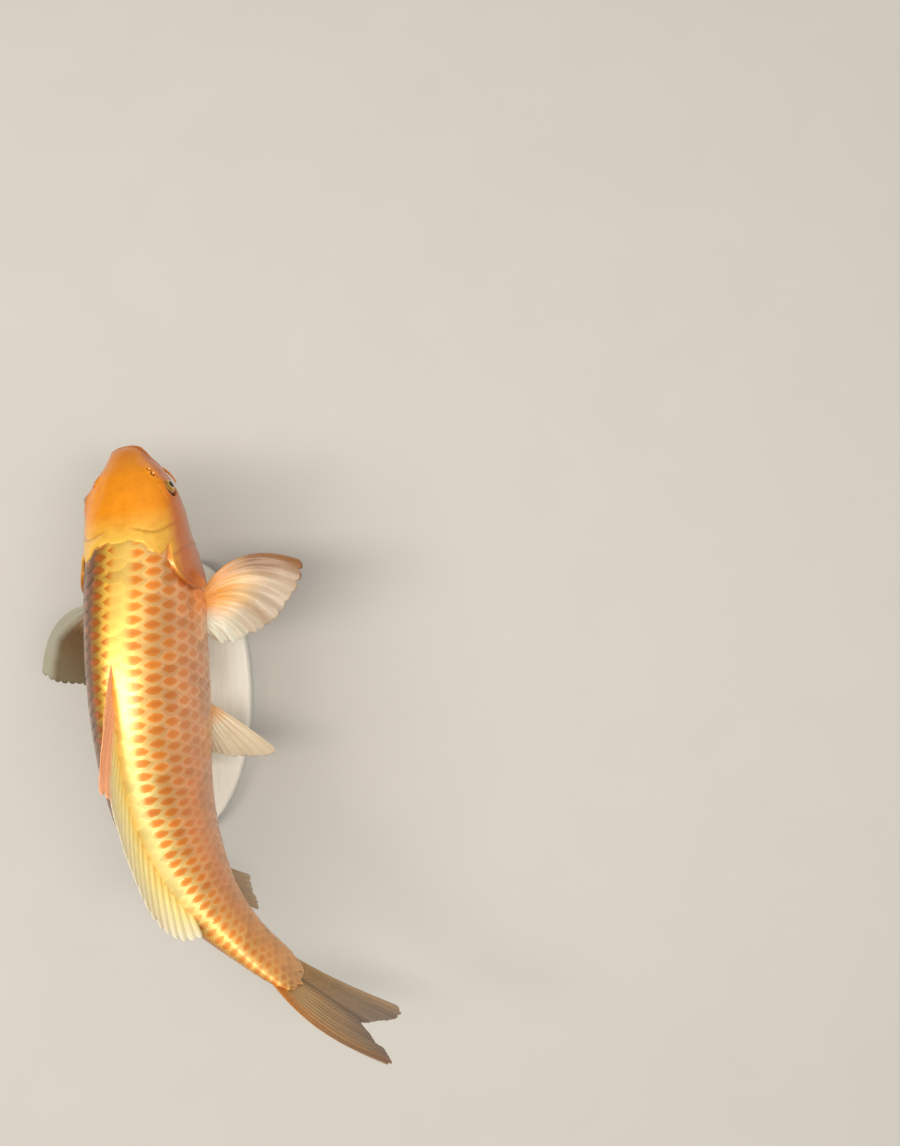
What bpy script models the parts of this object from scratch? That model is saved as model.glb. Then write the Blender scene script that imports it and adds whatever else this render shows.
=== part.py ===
"""Koi carp, a still life-size model with a curved tail, on a plain display stand.

Metres, +Z up. The origin is the centre of the stand's foot, on the floor. The head points to -Y and
the fish's right side to -X. The body is a loft along a level spine that bends towards the fish's
right, banked a little so that the back leans to the left. A place on the fish is given by three
distances: along the spine from the snout, out to the fish's right, and up towards its back.
"""

import math
from dataclasses import dataclass, replace

import bmesh
import bpy
import numpy as np
from mathutils import Vector

MM = 0.001

# Overall
TOTAL_LENGTH = 450 * MM
CAUDAL_BASE = 360 * MM
GAP = 0.3 * MM
SNOUT = Vector((23.5 * MM, -170.0 * MM))
AXIS_HEIGHT = 120 * MM

# Spine headings; the tail swings to the right between these fractions of the total length
HEAD_HEADING = math.radians(11.0)
NECK_HEADING = math.radians(4.5)
TAIL_HEADING = math.radians(55.0)
NECK_LENGTH = 120 * MM
BEND_START = 0.40
BEND_END = 0.84
SPINE_STEP = 1 * MM

# How far the back leans to the fish's left: mm along the spine, and degrees
BANKS = ((-60, 6.0), (40, 7.0), (120, 12.5), (180, 13.0), (260, 10.5), (560, 10.0))

# Body sections, in mm: along the spine, back, level of the greatest width, belly, half width
SECTIONS = (
    (0, -5.5, -8.0, -10.5, 4.0),
    (1.2, -2.5, -8.0, -14.0, 8.0),
    (4, 1.0, -8.0, -17.0, 11.0),
    (10, 6.0, -7.0, -19.5, 15.0),
    (17, 11.5, -5.0, -23.5, 21.0),
    (25, 16.5, -3.0, -27.5, 25.8),
    (34, 21.5, -2.0, -31.5, 29.3),
    (45, 27.0, -1.0, -36.0, 31.8),
    (68, 37.5, 0.0, -43.0, 33.5),
    (95, 46.0, 0.0, -48.5, 34.6),
    (130, 52.5, 0.0, -52.0, 34.8),
    (165, 54.5, 0.0, -53.0, 33.3),
    (200, 52.0, 0.0, -52.0, 30.6),
    (240, 45.0, 0.0, -47.5, 26.9),
    (275, 36.5, 0.0, -39.5, 22.4),
    (305, 28.5, 0.0, -30.0, 16.4),
    (335, 23.5, 0.0, -24.0, 10.8),
    (360, 22.5, 0.0, -22.5, 7.0),
)
BACK_ROUNDNESS = 0.93
BELLY_ROUNDNESS = 0.85
POINTS_AROUND = 26

# Where the body is parted, and the spacing of its rings
HEAD_END = 68 * MM
FORE_END = 148 * MM
MID_END = 232 * MM
REAR_END = 306 * MM
RING_SPACING = 10.5 * MM
HEAD_RINGS = (0, 1.2, 4, 7, 10, 13.5, 17, 21, 25, 29.5, 34, 40, 47, 54, 61, 68)

# Head
RIGHT = 1
LEFT = -1
SIDES = {RIGHT: "right", LEFT: "left"}
EYE_RADIUS = 7.5 * MM
EYE_DEPTH = 5.6 * MM
EYE_ALONG = 32 * MM
EYE_ANGLE = math.radians(77)
MOUTH_START = (-5 * MM, -8.6 * MM)
MOUTH_CORNER = (20 * MM, -14.8 * MM)
THROAT = (36 * MM, -45 * MM)
GILL_COVER_CENTRE = (74 * MM, math.radians(99))
GILL_COVER_HALF = (20.5 * MM, math.radians(43))
GILL_COVER_THICKNESS = 3.0 * MM
GILL_COVER_PROUD = 0.7 * MM
GILL_COVER_FLARE = {RIGHT: 3.0 * MM, LEFT: 1.5 * MM}
SEAT_CLEARANCE = 2 * MM
BARBEL_ROOT_RADIUS = 1.3 * MM
BARBEL_TIP_RADIUS = 0.55 * MM
BARBEL_SINK = 1.5 * MM

# Stand
BASE_LENGTH = 196 * MM
BASE_WIDTH = 88 * MM
BASE_THICKNESS = 12 * MM
BASE_BEVEL = 2.5 * MM
ROD_RADIUS = 4 * MM
ROD_SINK = 8 * MM
ROD_ALONG = {"front": 112 * MM, "rear": 214 * MM}

# Fins: lengths run from the surface of the body to the edge; FIN_SINK is how deep a root is buried
FIN_SINK = 5 * MM
FIN_EDGE = 0.7 * MM
SCALLOP = 2.5 * MM

# Lean of the dorsal fin to the left, in degrees, against the part of its base from 0 to 1
DORSAL_LEANS = (
    (0.0, -4),
    (0.1, 0),
    (0.2, -4),
    (0.3, -1),
    (0.5, 4),
    (0.65, 12),
    (0.8, 16),
    (0.9, 14),
    (1.0, 0),
)


@dataclass(frozen=True)
class MedianFin:
    """A fin on the midline: where its base runs, and its rays from first to last.

    Lengths (mm) are listed against the part of the base, from 0 to 1.
    """

    start: float
    end: float
    lengths: tuple
    lay: tuple
    root_thickness: float
    grid: tuple


@dataclass(frozen=True)
class PairedFin:
    """A fin on one side. Pairs are for the leading and the trailing ray, and angles are in degrees."""

    side: int
    root_along: float
    root_angle: float
    root_width: float
    sweep: tuple
    lengths: tuple
    droop: tuple
    bow: float
    cup: float
    root_thickness: float
    grid: tuple


@dataclass(frozen=True)
class Barbel:
    """A feeler: where it grows from the lip, and its steps out, along and down from there."""

    along: float
    angle: float
    steps: tuple


DORSAL = MedianFin(
    start=128 * MM,
    end=296 * MM,
    lengths=(
        (0.0, 42),
        (0.05, 61),
        (0.1, 68),
        (0.15, 64),
        (0.2, 57),
        (0.3, 52),
        (0.5, 48),
        (0.65, 48),
        (0.8, 41),
        (0.9, 32),
        (1.0, 18),
    ),
    lay=(68, 62),
    root_thickness=3.2 * MM,
    grid=(28, 4),
)
ANAL = MedianFin(
    start=275.5 * MM,
    end=303 * MM,
    lengths=((0.0, 41.5), (1.0, 29)),
    lay=(54.5, 72),
    root_thickness=2.6 * MM,
    grid=(10, 4),
)
PECTORAL_RIGHT = PairedFin(
    side=RIGHT,
    root_along=104 * MM,
    root_angle=126,
    root_width=10 * MM,
    sweep=(-17, 58),
    lengths=(79 * MM, 20 * MM),
    droop=(12, 25),
    bow=17 * MM,
    cup=3 * MM,
    root_thickness=3.4 * MM,
    grid=(14, 6),
)
PECTORAL_LEFT = replace(
    PECTORAL_RIGHT,
    side=LEFT,
    root_along=103 * MM,
    root_width=13 * MM,
    sweep=(29, 66),
    lengths=(87 * MM, 43.5 * MM),
    droop=(10, 35),
    bow=21 * MM,
)
PELVIC_RIGHT = PairedFin(
    side=RIGHT,
    root_along=167 * MM,
    root_angle=150,
    root_width=11 * MM,
    sweep=(39.5, 84),
    lengths=(65 * MM, 26 * MM),
    droop=(20, 35),
    bow=1.8 * MM,
    cup=2 * MM,
    root_thickness=3.0 * MM,
    grid=(10, 5),
)
PELVIC_LEFT = replace(
    PELVIC_RIGHT, side=LEFT, sweep=(46, 86), lengths=(58 * MM, 26 * MM), droop=(32, 45)
)
PAIRED_FINS = {"pectoral": (PECTORAL_RIGHT, PECTORAL_LEFT), "pelvic": (PELVIC_RIGHT, PELVIC_LEFT)}
FAN_FULLNESS = 1.3
FAN_TIP_ROUNDING = 4 * MM
FAN_TIP_WIDTH = 0.15
FORK = 424 * MM
FORK_POWER = 0.9
CAUDAL_ROOT_HALF = 18.5 * MM
CAUDAL_HALF_SPREAD = 46 * MM
CAUDAL_CURL = {"upper": 12 * MM, "lower": 2 * MM}
CAUDAL_BELLY = {"upper": -5.5 * MM, "lower": -2 * MM}
CAUDAL_THICKNESS = 4.5 * MM
CAUDAL_GRID = (10, 7)
BARBELS = {
    "front": Barbel(
        8 * MM, 92, ((2 * MM, 0.5 * MM, 2 * MM), (3.5 * MM, 3 * MM, 5 * MM), (3.5 * MM, 6 * MM, 7.5 * MM))
    ),
    "rear": Barbel(
        16 * MM, 112, ((3 * MM, 1 * MM, 3 * MM), (6 * MM, 5 * MM, 8 * MM), (6.5 * MM, 11 * MM, 12.5 * MM))
    ),
}


def clear_scene():
    """Remove everything that a new file holds."""
    for obj in list(bpy.data.objects):
        bpy.data.objects.remove(obj, do_unlink=True)


def new_collection(name):
    """Add a collection to the scene."""
    collection = bpy.data.collections.new(name)
    bpy.context.scene.collection.children.link(collection)
    return collection


def material(name, colour, roughness, metallic=0.0):
    """A plain finish: linear colour, roughness and metallic."""
    made = bpy.data.materials.new(name)
    made.use_nodes = True
    shader = made.node_tree.nodes["Principled BSDF"]
    shader.inputs["Base Color"].default_value = (*colour, 1.0)
    shader.inputs["Roughness"].default_value = roughness
    shader.inputs["Metallic"].default_value = metallic
    return made


def add_object(name, mesh, collection, finish=None):
    """Link a mesh to the scene as an object, with its finish and smooth shading."""
    obj = bpy.data.objects.new(name, mesh)
    collection.objects.link(obj)
    if finish:
        mesh.materials.append(finish)
    mesh.shade_smooth()
    return obj


def mesh_from(name, shape):
    """Turn a bmesh into a mesh whose faces point outwards."""
    bmesh.ops.recalc_face_normals(shape, faces=shape.faces)
    mesh = bpy.data.meshes.new(name)
    shape.to_mesh(mesh)
    shape.free()
    return mesh


def as_cutter(obj):
    """Mark an object as a cutter, which is not part of the model."""
    obj.hide_render = True
    obj.display_type = "WIRE"
    return obj


def boolean(obj, other, operation="DIFFERENCE"):
    """Cut or intersect an object with another."""
    modifier = obj.modifiers.new(operation.title(), "BOOLEAN")
    modifier.operation = operation
    modifier.solver = "EXACT"
    modifier.object = other


def smooth(value):
    """A step from 0 to 1 that starts and ends gently."""
    value = np.clip(value, 0.0, 1.0)
    return value * value * (3.0 - 2.0 * value)


def mix(pair, part):
    """The value this part of the way from the first of a pair to the second."""
    return pair[0] + (pair[1] - pair[0]) * part


def gentler(slopes):
    """The gentler of the slopes on each side of every station."""
    sizes = np.abs(slopes)
    return np.concatenate(([sizes[0]], np.minimum(sizes[:-1], sizes[1:]), [sizes[-1]]))


def eased(stations, values, at):
    """Read a smooth curve through the stations, without overshoot."""
    steps = np.diff(stations)
    slopes = np.diff(values) / steps
    tangents = np.concatenate(([slopes[0]], (slopes[:-1] + slopes[1:]) / 2, [slopes[-1]]))
    flat = slopes[:-1] * slopes[1:] <= 0
    tangents[1:-1][flat] = 0.0
    tangents = np.clip(tangents, -3 * gentler(slopes), 3 * gentler(slopes))
    cell = int(np.clip(np.searchsorted(stations, at) - 1, 0, len(steps) - 1))
    part = (np.clip(at, stations[0], stations[-1]) - stations[cell]) / steps[cell]
    start_tangent = tangents[cell] * steps[cell] * part * (1 - part) ** 2
    end_tangent = tangents[cell + 1] * steps[cell] * part * part * (part - 1)
    return mix(values[cell : cell + 2], smooth(part)) + start_tangent + end_tangent


def read(table, part):
    """Read a table of (part, value) as a smooth curve."""
    parts, values = np.array(table).T
    return eased(parts, values, part)


class Spine:
    """The line that the body is lofted along, level and bent to the right."""

    def __init__(self):
        self.along = np.arange(-60 * MM, 560 * MM, SPINE_STEP)
        turn = smooth((self.along / TOTAL_LENGTH - BEND_START) / (BEND_END - BEND_START))
        neck = smooth(self.along / NECK_LENGTH)
        self.heading = mix((HEAD_HEADING, NECK_HEADING), neck) + (TAIL_HEADING - NECK_HEADING) * turn
        places, degrees = np.array(BANKS).T
        self.bank = np.radians([eased(places * MM, degrees, along) for along in self.along])
        self.x = self._travel(-np.sin(self.heading)) + SNOUT.x
        self.y = self._travel(np.cos(self.heading)) + SNOUT.y

    def _travel(self, rate):
        """Add up a rate along the spine, from zero at the snout."""
        total = np.cumsum(rate) * SPINE_STEP
        return total - np.interp(0.0, self.along, total)

    def frame(self, along):
        """The point of the spine here, with the directions to the tail, the right and the back."""
        heading = np.interp(along, self.along, self.heading)
        bank = np.interp(along, self.along, self.bank)
        point = (np.interp(along, self.along, self.x), np.interp(along, self.along, self.y), AXIS_HEIGHT)
        tailwards = Vector((-math.sin(heading), math.cos(heading), 0.0))
        level_right = Vector((-math.cos(heading), -math.sin(heading), 0.0))
        right = level_right * math.cos(bank) + Vector((0.0, 0.0, math.sin(bank)))
        return Vector(point), tailwards, right, tailwards.cross(right)

    def place(self, along, out, up):
        """The point this far along the spine, to the right of it and above it."""
        point, _, right, upwards = self.frame(along)
        return point + right * out + upwards * up


SPINE = Spine()
STATIONS = np.array([section[0] for section in SECTIONS]) * MM


def section_at(along):
    """Back, widest level, belly and half width of the body at this distance along the spine."""
    columns = np.array(SECTIONS).T[1:] * MM
    return [eased(STATIONS, column, along) for column in columns]


def body_offset(along, angle, grow=0.0):
    """Distances out and up to the body's surface; the angle runs from the back to the fish's right."""
    back, level, belly, half_width = section_at(along)
    across = math.sin(angle)
    rise = math.cos(angle)
    roundness = BACK_ROUNDNESS if rise > 0 else BELLY_ROUNDNESS
    out = (half_width + grow) * math.copysign(abs(across) ** roundness, across)
    height = back - level if rise > 0 else level - belly
    return out, level + (height + grow) * rise


def body_point(along, angle, grow=0.0):
    """A point of the body's surface, or this far outside it."""
    return SPINE.place(along, *body_offset(along, angle, grow))


def loft(name, rings, collection, finish=None, grow=0.0):
    """A length of the body through rings at these distances along the spine."""
    angles = [2 * math.pi * step / POINTS_AROUND for step in range(POINTS_AROUND)]
    shape = bmesh.new()
    loops = [[shape.verts.new(body_point(along, angle, grow)) for angle in angles] for along in rings]
    for front, rear in zip(loops, loops[1:]):
        for step in range(POINTS_AROUND):
            shape.faces.new((front[step], front[step - 1], rear[step - 1], rear[step]))
    shape.faces.new(loops[0])
    shape.faces.new(loops[-1])
    return add_object(name, mesh_from(name, shape), collection, finish)


def rings_between(start, end):
    """Even ring positions from one cut to the next, with the gap left at the front."""
    count = max(2, round((end - start) / RING_SPACING) + 1)
    return np.linspace(start + GAP, end, count)


def surface_patch(name, side, proud, thickness, margin, collection, finish=None):
    """A rounded plate that follows the side of the head, sunk into it from a proud outer face."""
    shape = bmesh.new()
    bmesh.ops.create_grid(shape, x_segments=10, y_segments=8, size=1.0)
    for vertex in shape.verts:
        radius = max(abs(vertex.co.x), abs(vertex.co.y))
        turn = math.atan2(vertex.co.y, vertex.co.x)
        round_x = radius * math.cos(turn)
        round_y = radius * math.sin(turn)
        along = GILL_COVER_CENTRE[0] + round_x * (GILL_COVER_HALF[0] + margin)
        width = margin / section_at(along)[3]
        angle = GILL_COVER_CENTRE[1] + round_y * (GILL_COVER_HALF[1] + width)
        flare = GILL_COVER_FLARE[side] * smooth((1 + round_x) / 2)
        vertex.co = body_point(along, side * angle, proud + flare)
    plate = add_object(name, mesh_from(name, shape), collection, finish)
    solid = plate.modifiers.new("Solidify", "SOLIDIFY")
    solid.thickness = thickness
    solid.offset = -1.0 if patch_faces_out(plate.data, side) else 1.0
    return plate


def patch_faces_out(mesh, side):
    """Whether a side plate's faces point away from the middle of the fish."""
    right = SPINE.frame(GILL_COVER_CENTRE[0])[2]
    return mesh.polygons[0].normal.dot(right) * side > 0


def fin(name, ray, grid, root_thickness, collection, finish):
    """A solid fin from the function ray(across, out), which gives a point for two parts from 0 to 1."""
    shape = bmesh.new()
    bmesh.ops.create_grid(shape, x_segments=grid[0], y_segments=grid[1], size=0.5)
    parts = [(vertex.co.x + 0.5, vertex.co.y + 0.5) for vertex in shape.verts]
    for vertex, (across, out) in zip(shape.verts, parts):
        vertex.co = ray(across, out)
    sheet = add_object(name, mesh_from(name, shape), collection, finish)
    thick = sheet.vertex_groups.new(name="thick")
    for index, (_, out) in enumerate(parts):
        thick.add([index], (1.0 - out) ** 2, "REPLACE")
    solid = sheet.modifiers.new("Solidify", "SOLIDIFY")
    solid.thickness = root_thickness
    solid.offset = 0.0
    solid.vertex_group = thick.name
    solid.thickness_vertex_group = FIN_EDGE / root_thickness
    return sheet


def bowed(root, tip, bow, out):
    """A point of a ray from root to tip whose middle is pushed aside by bow."""
    return root.lerp(tip, out) + bow * (4 * out * (1 - out))


def scallop(across, lobes):
    """How far the edge of a fin draws in between its rays."""
    return SCALLOP * (1 - abs(math.sin(math.pi * lobes * across)))


def slope_of_back(along):
    """Rise of the back for each metre towards the tail."""
    return (section_at(along + MM)[0] - section_at(along)[0]) / MM


def dorsal_ray(across, out):
    """The dorsal fin: a tall front lobe, then a low edge, laid back and leaning to the left."""
    along = mix((DORSAL.start, DORSAL.end), across)
    length = read(DORSAL.lengths, across) * MM - scallop(across, 8) * smooth(across / 0.2)
    lay = math.radians(mix(DORSAL.lay, across))
    lean = math.radians(read(DORSAL_LEANS, across))
    reach = length * out
    back = math.sin(lay) * reach
    rise = math.cos(lay) * reach + back * slope_of_back(along) - FIN_SINK * (1 - out)
    left = math.sin(lean) * reach * (0.55 + 0.35 * out)
    return SPINE.place(along + back, -left, section_at(along)[0] + rise)


def anal_ray(across, out):
    """The anal fin, under the start of the tail."""
    along = mix((ANAL.start, ANAL.end), across)
    length = read(ANAL.lengths, across) * MM - scallop(across, 4)
    lay = math.radians(mix(ANAL.lay, across))
    reach = length * out
    drop = math.cos(lay) * reach - FIN_SINK * (1 - out)
    return SPINE.place(along + math.sin(lay) * reach, 3 * MM * out * out, section_at(along)[2] - drop)


def caudal_ray(lobe):
    """One lobe of the tail fin, above or below the fork."""
    side = 1 if lobe == "upper" else -1

    def ray(across, out):
        root = Vector((CAUDAL_BASE - 6 * MM, 0.0, side * (0.2 * MM + CAUDAL_ROOT_HALF * across)))
        reach = mix((FORK, TOTAL_LENGTH), math.sin(math.pi / 2 * across) ** FORK_POWER)
        reach -= 5 * MM * smooth((across - 0.85) / 0.15) + scallop(across, 5)
        tip = Vector((reach, 0.0, side * (0.2 * MM + CAUDAL_HALF_SPREAD * across)))
        flare = Vector((0.0, 0.0, side * MM * across))
        point = bowed(root, tip, flare, out)
        curl = across * (CAUDAL_CURL[lobe] * out * out + CAUDAL_BELLY[lobe] * math.sin(math.pi * out))
        return SPINE.place(point.x, curl, point.z)

    return ray


def paired_ray(spec):
    """A pectoral or pelvic fin."""
    _, tailwards, right, up = SPINE.frame(spec.root_along)
    outwards = right * spec.side

    def ray(across, out):
        along = spec.root_along + spec.root_width * across
        root = body_point(along, spec.side * math.radians(spec.root_angle), -FIN_SINK)
        sweep = math.radians(mix(spec.sweep, across))
        fall = math.radians(mix(spec.droop, across))
        length = mix(spec.lengths, 1 - (1 - across) ** FAN_FULLNESS) - scallop(across, 6)
        length -= FAN_TIP_ROUNDING * max(0.0, 1 - across / FAN_TIP_WIDTH) ** 2
        sideways = outwards * math.cos(fall) - up * math.sin(fall)
        aim = sideways * math.cos(sweep) + tailwards * math.sin(sweep)
        forwards = outwards * math.sin(sweep) - tailwards * math.cos(sweep)
        bulge = forwards * spec.bow * (1 - across) + up * spec.cup
        return bowed(root, root + aim * length, bulge, out)

    return ray


def barbel(name, side, spec, collection, finish, body):
    """A tapered feeler that hangs from the lip."""
    curve = bpy.data.curves.new(name, "CURVE")
    curve.dimensions = "3D"
    curve.bevel_depth = BARBEL_ROOT_RADIUS
    curve.bevel_resolution = 2
    curve.resolution_u = 3
    curve.use_fill_caps = True
    line = curve.splines.new("NURBS")
    line.points.add(len(spec.steps))
    line.order_u = 3
    line.use_endpoint_u = True
    taper = BARBEL_TIP_RADIUS / BARBEL_ROOT_RADIUS
    out, up = body_offset(spec.along, math.radians(spec.angle), -BARBEL_SINK)
    for index, (step_out, step_along, step_down) in enumerate([(0, 0, 0), *spec.steps]):
        place = SPINE.place(spec.along + step_along, side * (out + step_out), up - step_down)
        line.points[index].co = (*place, 1.0)
        line.points[index].radius = mix((1.0, taper), index / len(spec.steps))
    rod = bpy.data.objects.new(name, curve)
    collection.objects.link(rod)
    bpy.context.view_layer.update()
    mesh = bpy.data.meshes.new_from_object(rod.evaluated_get(bpy.context.evaluated_depsgraph_get()))
    bpy.data.objects.remove(rod)
    shape = bmesh.new()
    shape.from_mesh(mesh)
    bmesh.ops.remove_doubles(shape, verts=shape.verts, dist=0.01 * MM)
    feeler = add_object(name, mesh_from(name, shape), collection, finish)
    boolean(feeler, body)


def eye_centre(side):
    """The middle of the eyeball, sunk under the side of the head."""
    return body_point(EYE_ALONG, side * EYE_ANGLE, -EYE_DEPTH)


def ball(name, centre, radius, collection, finish=None):
    """A round ball."""
    shape = bmesh.new()
    bmesh.ops.create_uvsphere(shape, u_segments=14, v_segments=8, radius=radius)
    bmesh.ops.translate(shape, vec=centre, verts=shape.verts)
    return add_object(name, mesh_from(name, shape), collection, finish)


def cylinder(name, foot, top, radius, collection, finish=None):
    """An upright round rod between two heights."""
    shape = bmesh.new()
    depth = top - foot.z
    bmesh.ops.create_cone(shape, cap_ends=True, segments=24, radius1=radius, radius2=radius, depth=depth)
    bmesh.ops.translate(shape, vec=foot + Vector((0.0, 0.0, depth / 2)), verts=shape.verts)
    rod = add_object(name, mesh_from(name, shape), collection, finish)
    rod.data.set_sharp_from_angle(angle=math.radians(40))
    return rod


def jaw_wedge(name, grow, collection):
    """The space of the lower jaw: under the mouth line and in front of the throat."""
    outline = (
        (MOUTH_START[0], MOUTH_START[1] + grow),
        (MOUTH_CORNER[0] + grow, MOUTH_CORNER[1] + grow),
        (THROAT[0] + grow, THROAT[1]),
        (MOUTH_START[0], THROAT[1]),
    )
    half_width = 60 * MM
    shape = bmesh.new()
    corners = [shape.verts.new(SPINE.place(along, -half_width, up)) for along, up in outline]
    face = shape.faces.new(corners)
    extruded = bmesh.ops.extrude_face_region(shape, geom=[face])
    moved = [part for part in extruded["geom"] if isinstance(part, bmesh.types.BMVert)]
    across = SPINE.frame(0.0)[2] * (2 * half_width)
    bmesh.ops.translate(shape, vec=across, verts=moved)
    return as_cutter(add_object(name, mesh_from(name, shape), collection))


def build_head(fish, cutters, finishes, body):
    """Head, lower jaw, gill covers, eyes and barbels."""
    rings = [along * MM for along in HEAD_RINGS]
    head = loft("head", rings, fish, finishes["head"])
    jaw = loft("lower_jaw", rings, fish, finishes["head"])
    boolean(jaw, jaw_wedge("jaw_space", 0.0, cutters), "INTERSECT")
    boolean(head, jaw_wedge("jaw_cut", GAP, cutters))
    for side, word in SIDES.items():
        ball(f"eye_{word}", eye_centre(side), EYE_RADIUS, fish, finishes["eye"])
        socket = ball(f"eye_socket_{word}", eye_centre(side), EYE_RADIUS + GAP, cutters)
        boolean(head, as_cutter(socket))
        cover = f"operculum_{word}"
        surface_patch(cover, side, GILL_COVER_PROUD, GILL_COVER_THICKNESS, 0.0, fish, finishes["head"])
        for place, spec in BARBELS.items():
            barbel(f"barbel_{word}_{place}", side, spec, fish, finishes["barbel"], body)
    return head


def build_trunk(fish, finishes):
    """The three lengths of the trunk, and the tail peduncle."""
    cuts = {
        "fore_trunk": (HEAD_END, FORE_END),
        "mid_trunk": (FORE_END, MID_END),
        "rear_trunk": (MID_END, REAR_END),
        "tail_peduncle": (REAR_END, CAUDAL_BASE),
    }
    return {name: loft(name, rings_between(*ends), fish, finishes["trunk"]) for name, ends in cuts.items()}


def seat_gill_covers(head, fore_trunk, cutters):
    """Sink a seat for each gill cover across the head and the shoulder."""
    for side, word in SIDES.items():
        depth = GILL_COVER_THICKNESS + SEAT_CLEARANCE + GAP
        proud = GILL_COVER_PROUD + SEAT_CLEARANCE
        seat = surface_patch(f"gill_seat_{word}", side, proud, depth, GAP, cutters)
        as_cutter(seat)
        boolean(head, seat)
        boolean(fore_trunk, seat)


def build_fins(fish, finishes, body):
    """All the fins, each trimmed to the body."""
    fins = [
        fin("dorsal_fin", dorsal_ray, DORSAL.grid, DORSAL.root_thickness, fish, finishes["dorsal"]),
        fin("anal_fin", anal_ray, ANAL.grid, ANAL.root_thickness, fish, finishes["tail"]),
    ]
    for lobe in ("upper", "lower"):
        name = f"caudal_fin_{lobe}"
        fins.append(fin(name, caudal_ray(lobe), CAUDAL_GRID, CAUDAL_THICKNESS, fish, finishes["tail"]))
    for kind, pair in PAIRED_FINS.items():
        for spec in pair:
            name = f"{kind}_fin_{SIDES[spec.side]}"
            thickness = spec.root_thickness
            fins.append(fin(name, paired_ray(spec), spec.grid, thickness, fish, finishes["paired"]))
    for each in fins:
        boolean(each, body)


def build_stand(fish, cutters, trunk, finishes):
    """An oval foot with two upright rods that enter the belly."""
    shape = bmesh.new()
    bmesh.ops.create_cone(shape, cap_ends=True, segments=48, radius1=0.5, radius2=0.5, depth=BASE_THICKNESS)
    bmesh.ops.scale(shape, vec=(BASE_WIDTH, BASE_LENGTH, 1.0), verts=shape.verts)
    bmesh.ops.translate(shape, vec=(0.0, 0.0, BASE_THICKNESS / 2), verts=shape.verts)
    foot = add_object("stand_base", mesh_from("stand_base", shape), fish, finishes["stand"])
    edge = foot.modifiers.new("Bevel", "BEVEL")
    edge.width = BASE_BEVEL
    edge.segments = 2
    edge.limit_method = "ANGLE"
    foot.data.set_sharp_from_angle(angle=math.radians(40))
    holders = {"front": trunk["fore_trunk"], "rear": trunk["mid_trunk"]}
    for word, along in ROD_ALONG.items():
        centre = SPINE.frame(along)[0]
        centre.z = BASE_THICKNESS - ROD_SINK + GAP
        top = SPINE.frame(along)[0].z + section_at(along)[2] + ROD_SINK
        cylinder(f"stand_rod_{word}", centre, top, ROD_RADIUS, fish, finishes["rod"])
        centre.z -= GAP
        hole = cylinder(f"rod_hole_{word}", centre, top + GAP, ROD_RADIUS + GAP, cutters)
        as_cutter(hole)
        boolean(foot, hole)
        boolean(holders[word], hole)


def main():
    """Build the fish and its stand."""
    clear_scene()
    fish = new_collection("koi_carp")
    cutters = new_collection("cutters")
    finishes = {
        "head": material("head_skin", (0.90, 0.36, 0.02), 0.35, 0.2),
        "trunk": material("scaled_skin", (0.88, 0.40, 0.06), 0.35, 0.3),
        "dorsal": material("dorsal_membrane", (0.90, 0.30, 0.10), 0.45),
        "tail": material("tail_membrane", (0.50, 0.31, 0.12), 0.45),
        "paired": material("paired_fin_membrane", (0.80, 0.66, 0.45), 0.45),
        "barbel": material("barbel_skin", (0.75, 0.33, 0.08), 0.45),
        "eye": material("eye_glass", (0.05, 0.03, 0.02), 0.08),
        "stand": material("stand_lacquer", (0.72, 0.70, 0.66), 0.35),
        "rod": material("stand_steel", (0.60, 0.60, 0.60), 0.30, 1.0),
    }
    whole_rings = [along * MM for along in HEAD_RINGS] + list(rings_between(HEAD_END, FORE_END))
    for start, end in ((FORE_END, MID_END), (MID_END, REAR_END), (REAR_END, CAUDAL_BASE)):
        whole_rings += list(rings_between(start, end))
    body = as_cutter(loft("body_clearance", whole_rings, cutters, grow=GAP))
    head = build_head(fish, cutters, finishes, body)
    trunk = build_trunk(fish, finishes)
    seat_gill_covers(head, trunk["fore_trunk"], cutters)
    build_fins(fish, finishes, body)
    build_stand(fish, cutters, trunk, finishes)


main()
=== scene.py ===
"""Looks of the koi carp: one skin, its scales, rayed fins, eyes, feelers, a plain stand and a studio.

Metres, +Z up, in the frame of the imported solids. A place on the fish is given by its distance along the
spine from the snout and by a turn about the spine, zero on the back and positive to the fish's right.
"""

import logging
import math
from collections.abc import Callable, Sequence
from dataclasses import dataclass
from enum import Enum
from functools import partial
from typing import ClassVar

import bmesh
import bpy
import numpy as np
from bpy.types import Material, Mesh, Node, NodeSocket, NodeTree, Object
from mathutils import Matrix, Vector


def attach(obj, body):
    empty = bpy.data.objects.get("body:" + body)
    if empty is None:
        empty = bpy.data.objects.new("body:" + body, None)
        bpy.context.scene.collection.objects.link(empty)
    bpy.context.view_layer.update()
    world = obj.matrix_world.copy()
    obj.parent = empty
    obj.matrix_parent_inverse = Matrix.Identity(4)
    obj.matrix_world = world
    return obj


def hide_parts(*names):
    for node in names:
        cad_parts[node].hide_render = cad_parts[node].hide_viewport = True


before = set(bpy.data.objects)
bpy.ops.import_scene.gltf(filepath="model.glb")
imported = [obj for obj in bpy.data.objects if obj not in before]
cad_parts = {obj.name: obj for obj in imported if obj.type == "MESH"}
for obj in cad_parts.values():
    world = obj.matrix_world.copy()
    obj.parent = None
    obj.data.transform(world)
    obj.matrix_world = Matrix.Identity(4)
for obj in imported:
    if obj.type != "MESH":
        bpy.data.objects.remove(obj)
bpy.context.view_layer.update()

MM = 0.001
LOG = logging.getLogger("koi")
TINY = 1e-12
MERGE = 0.001 * MM  # points closer than this are one
BAKE_MAP = "OFBake"

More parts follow.
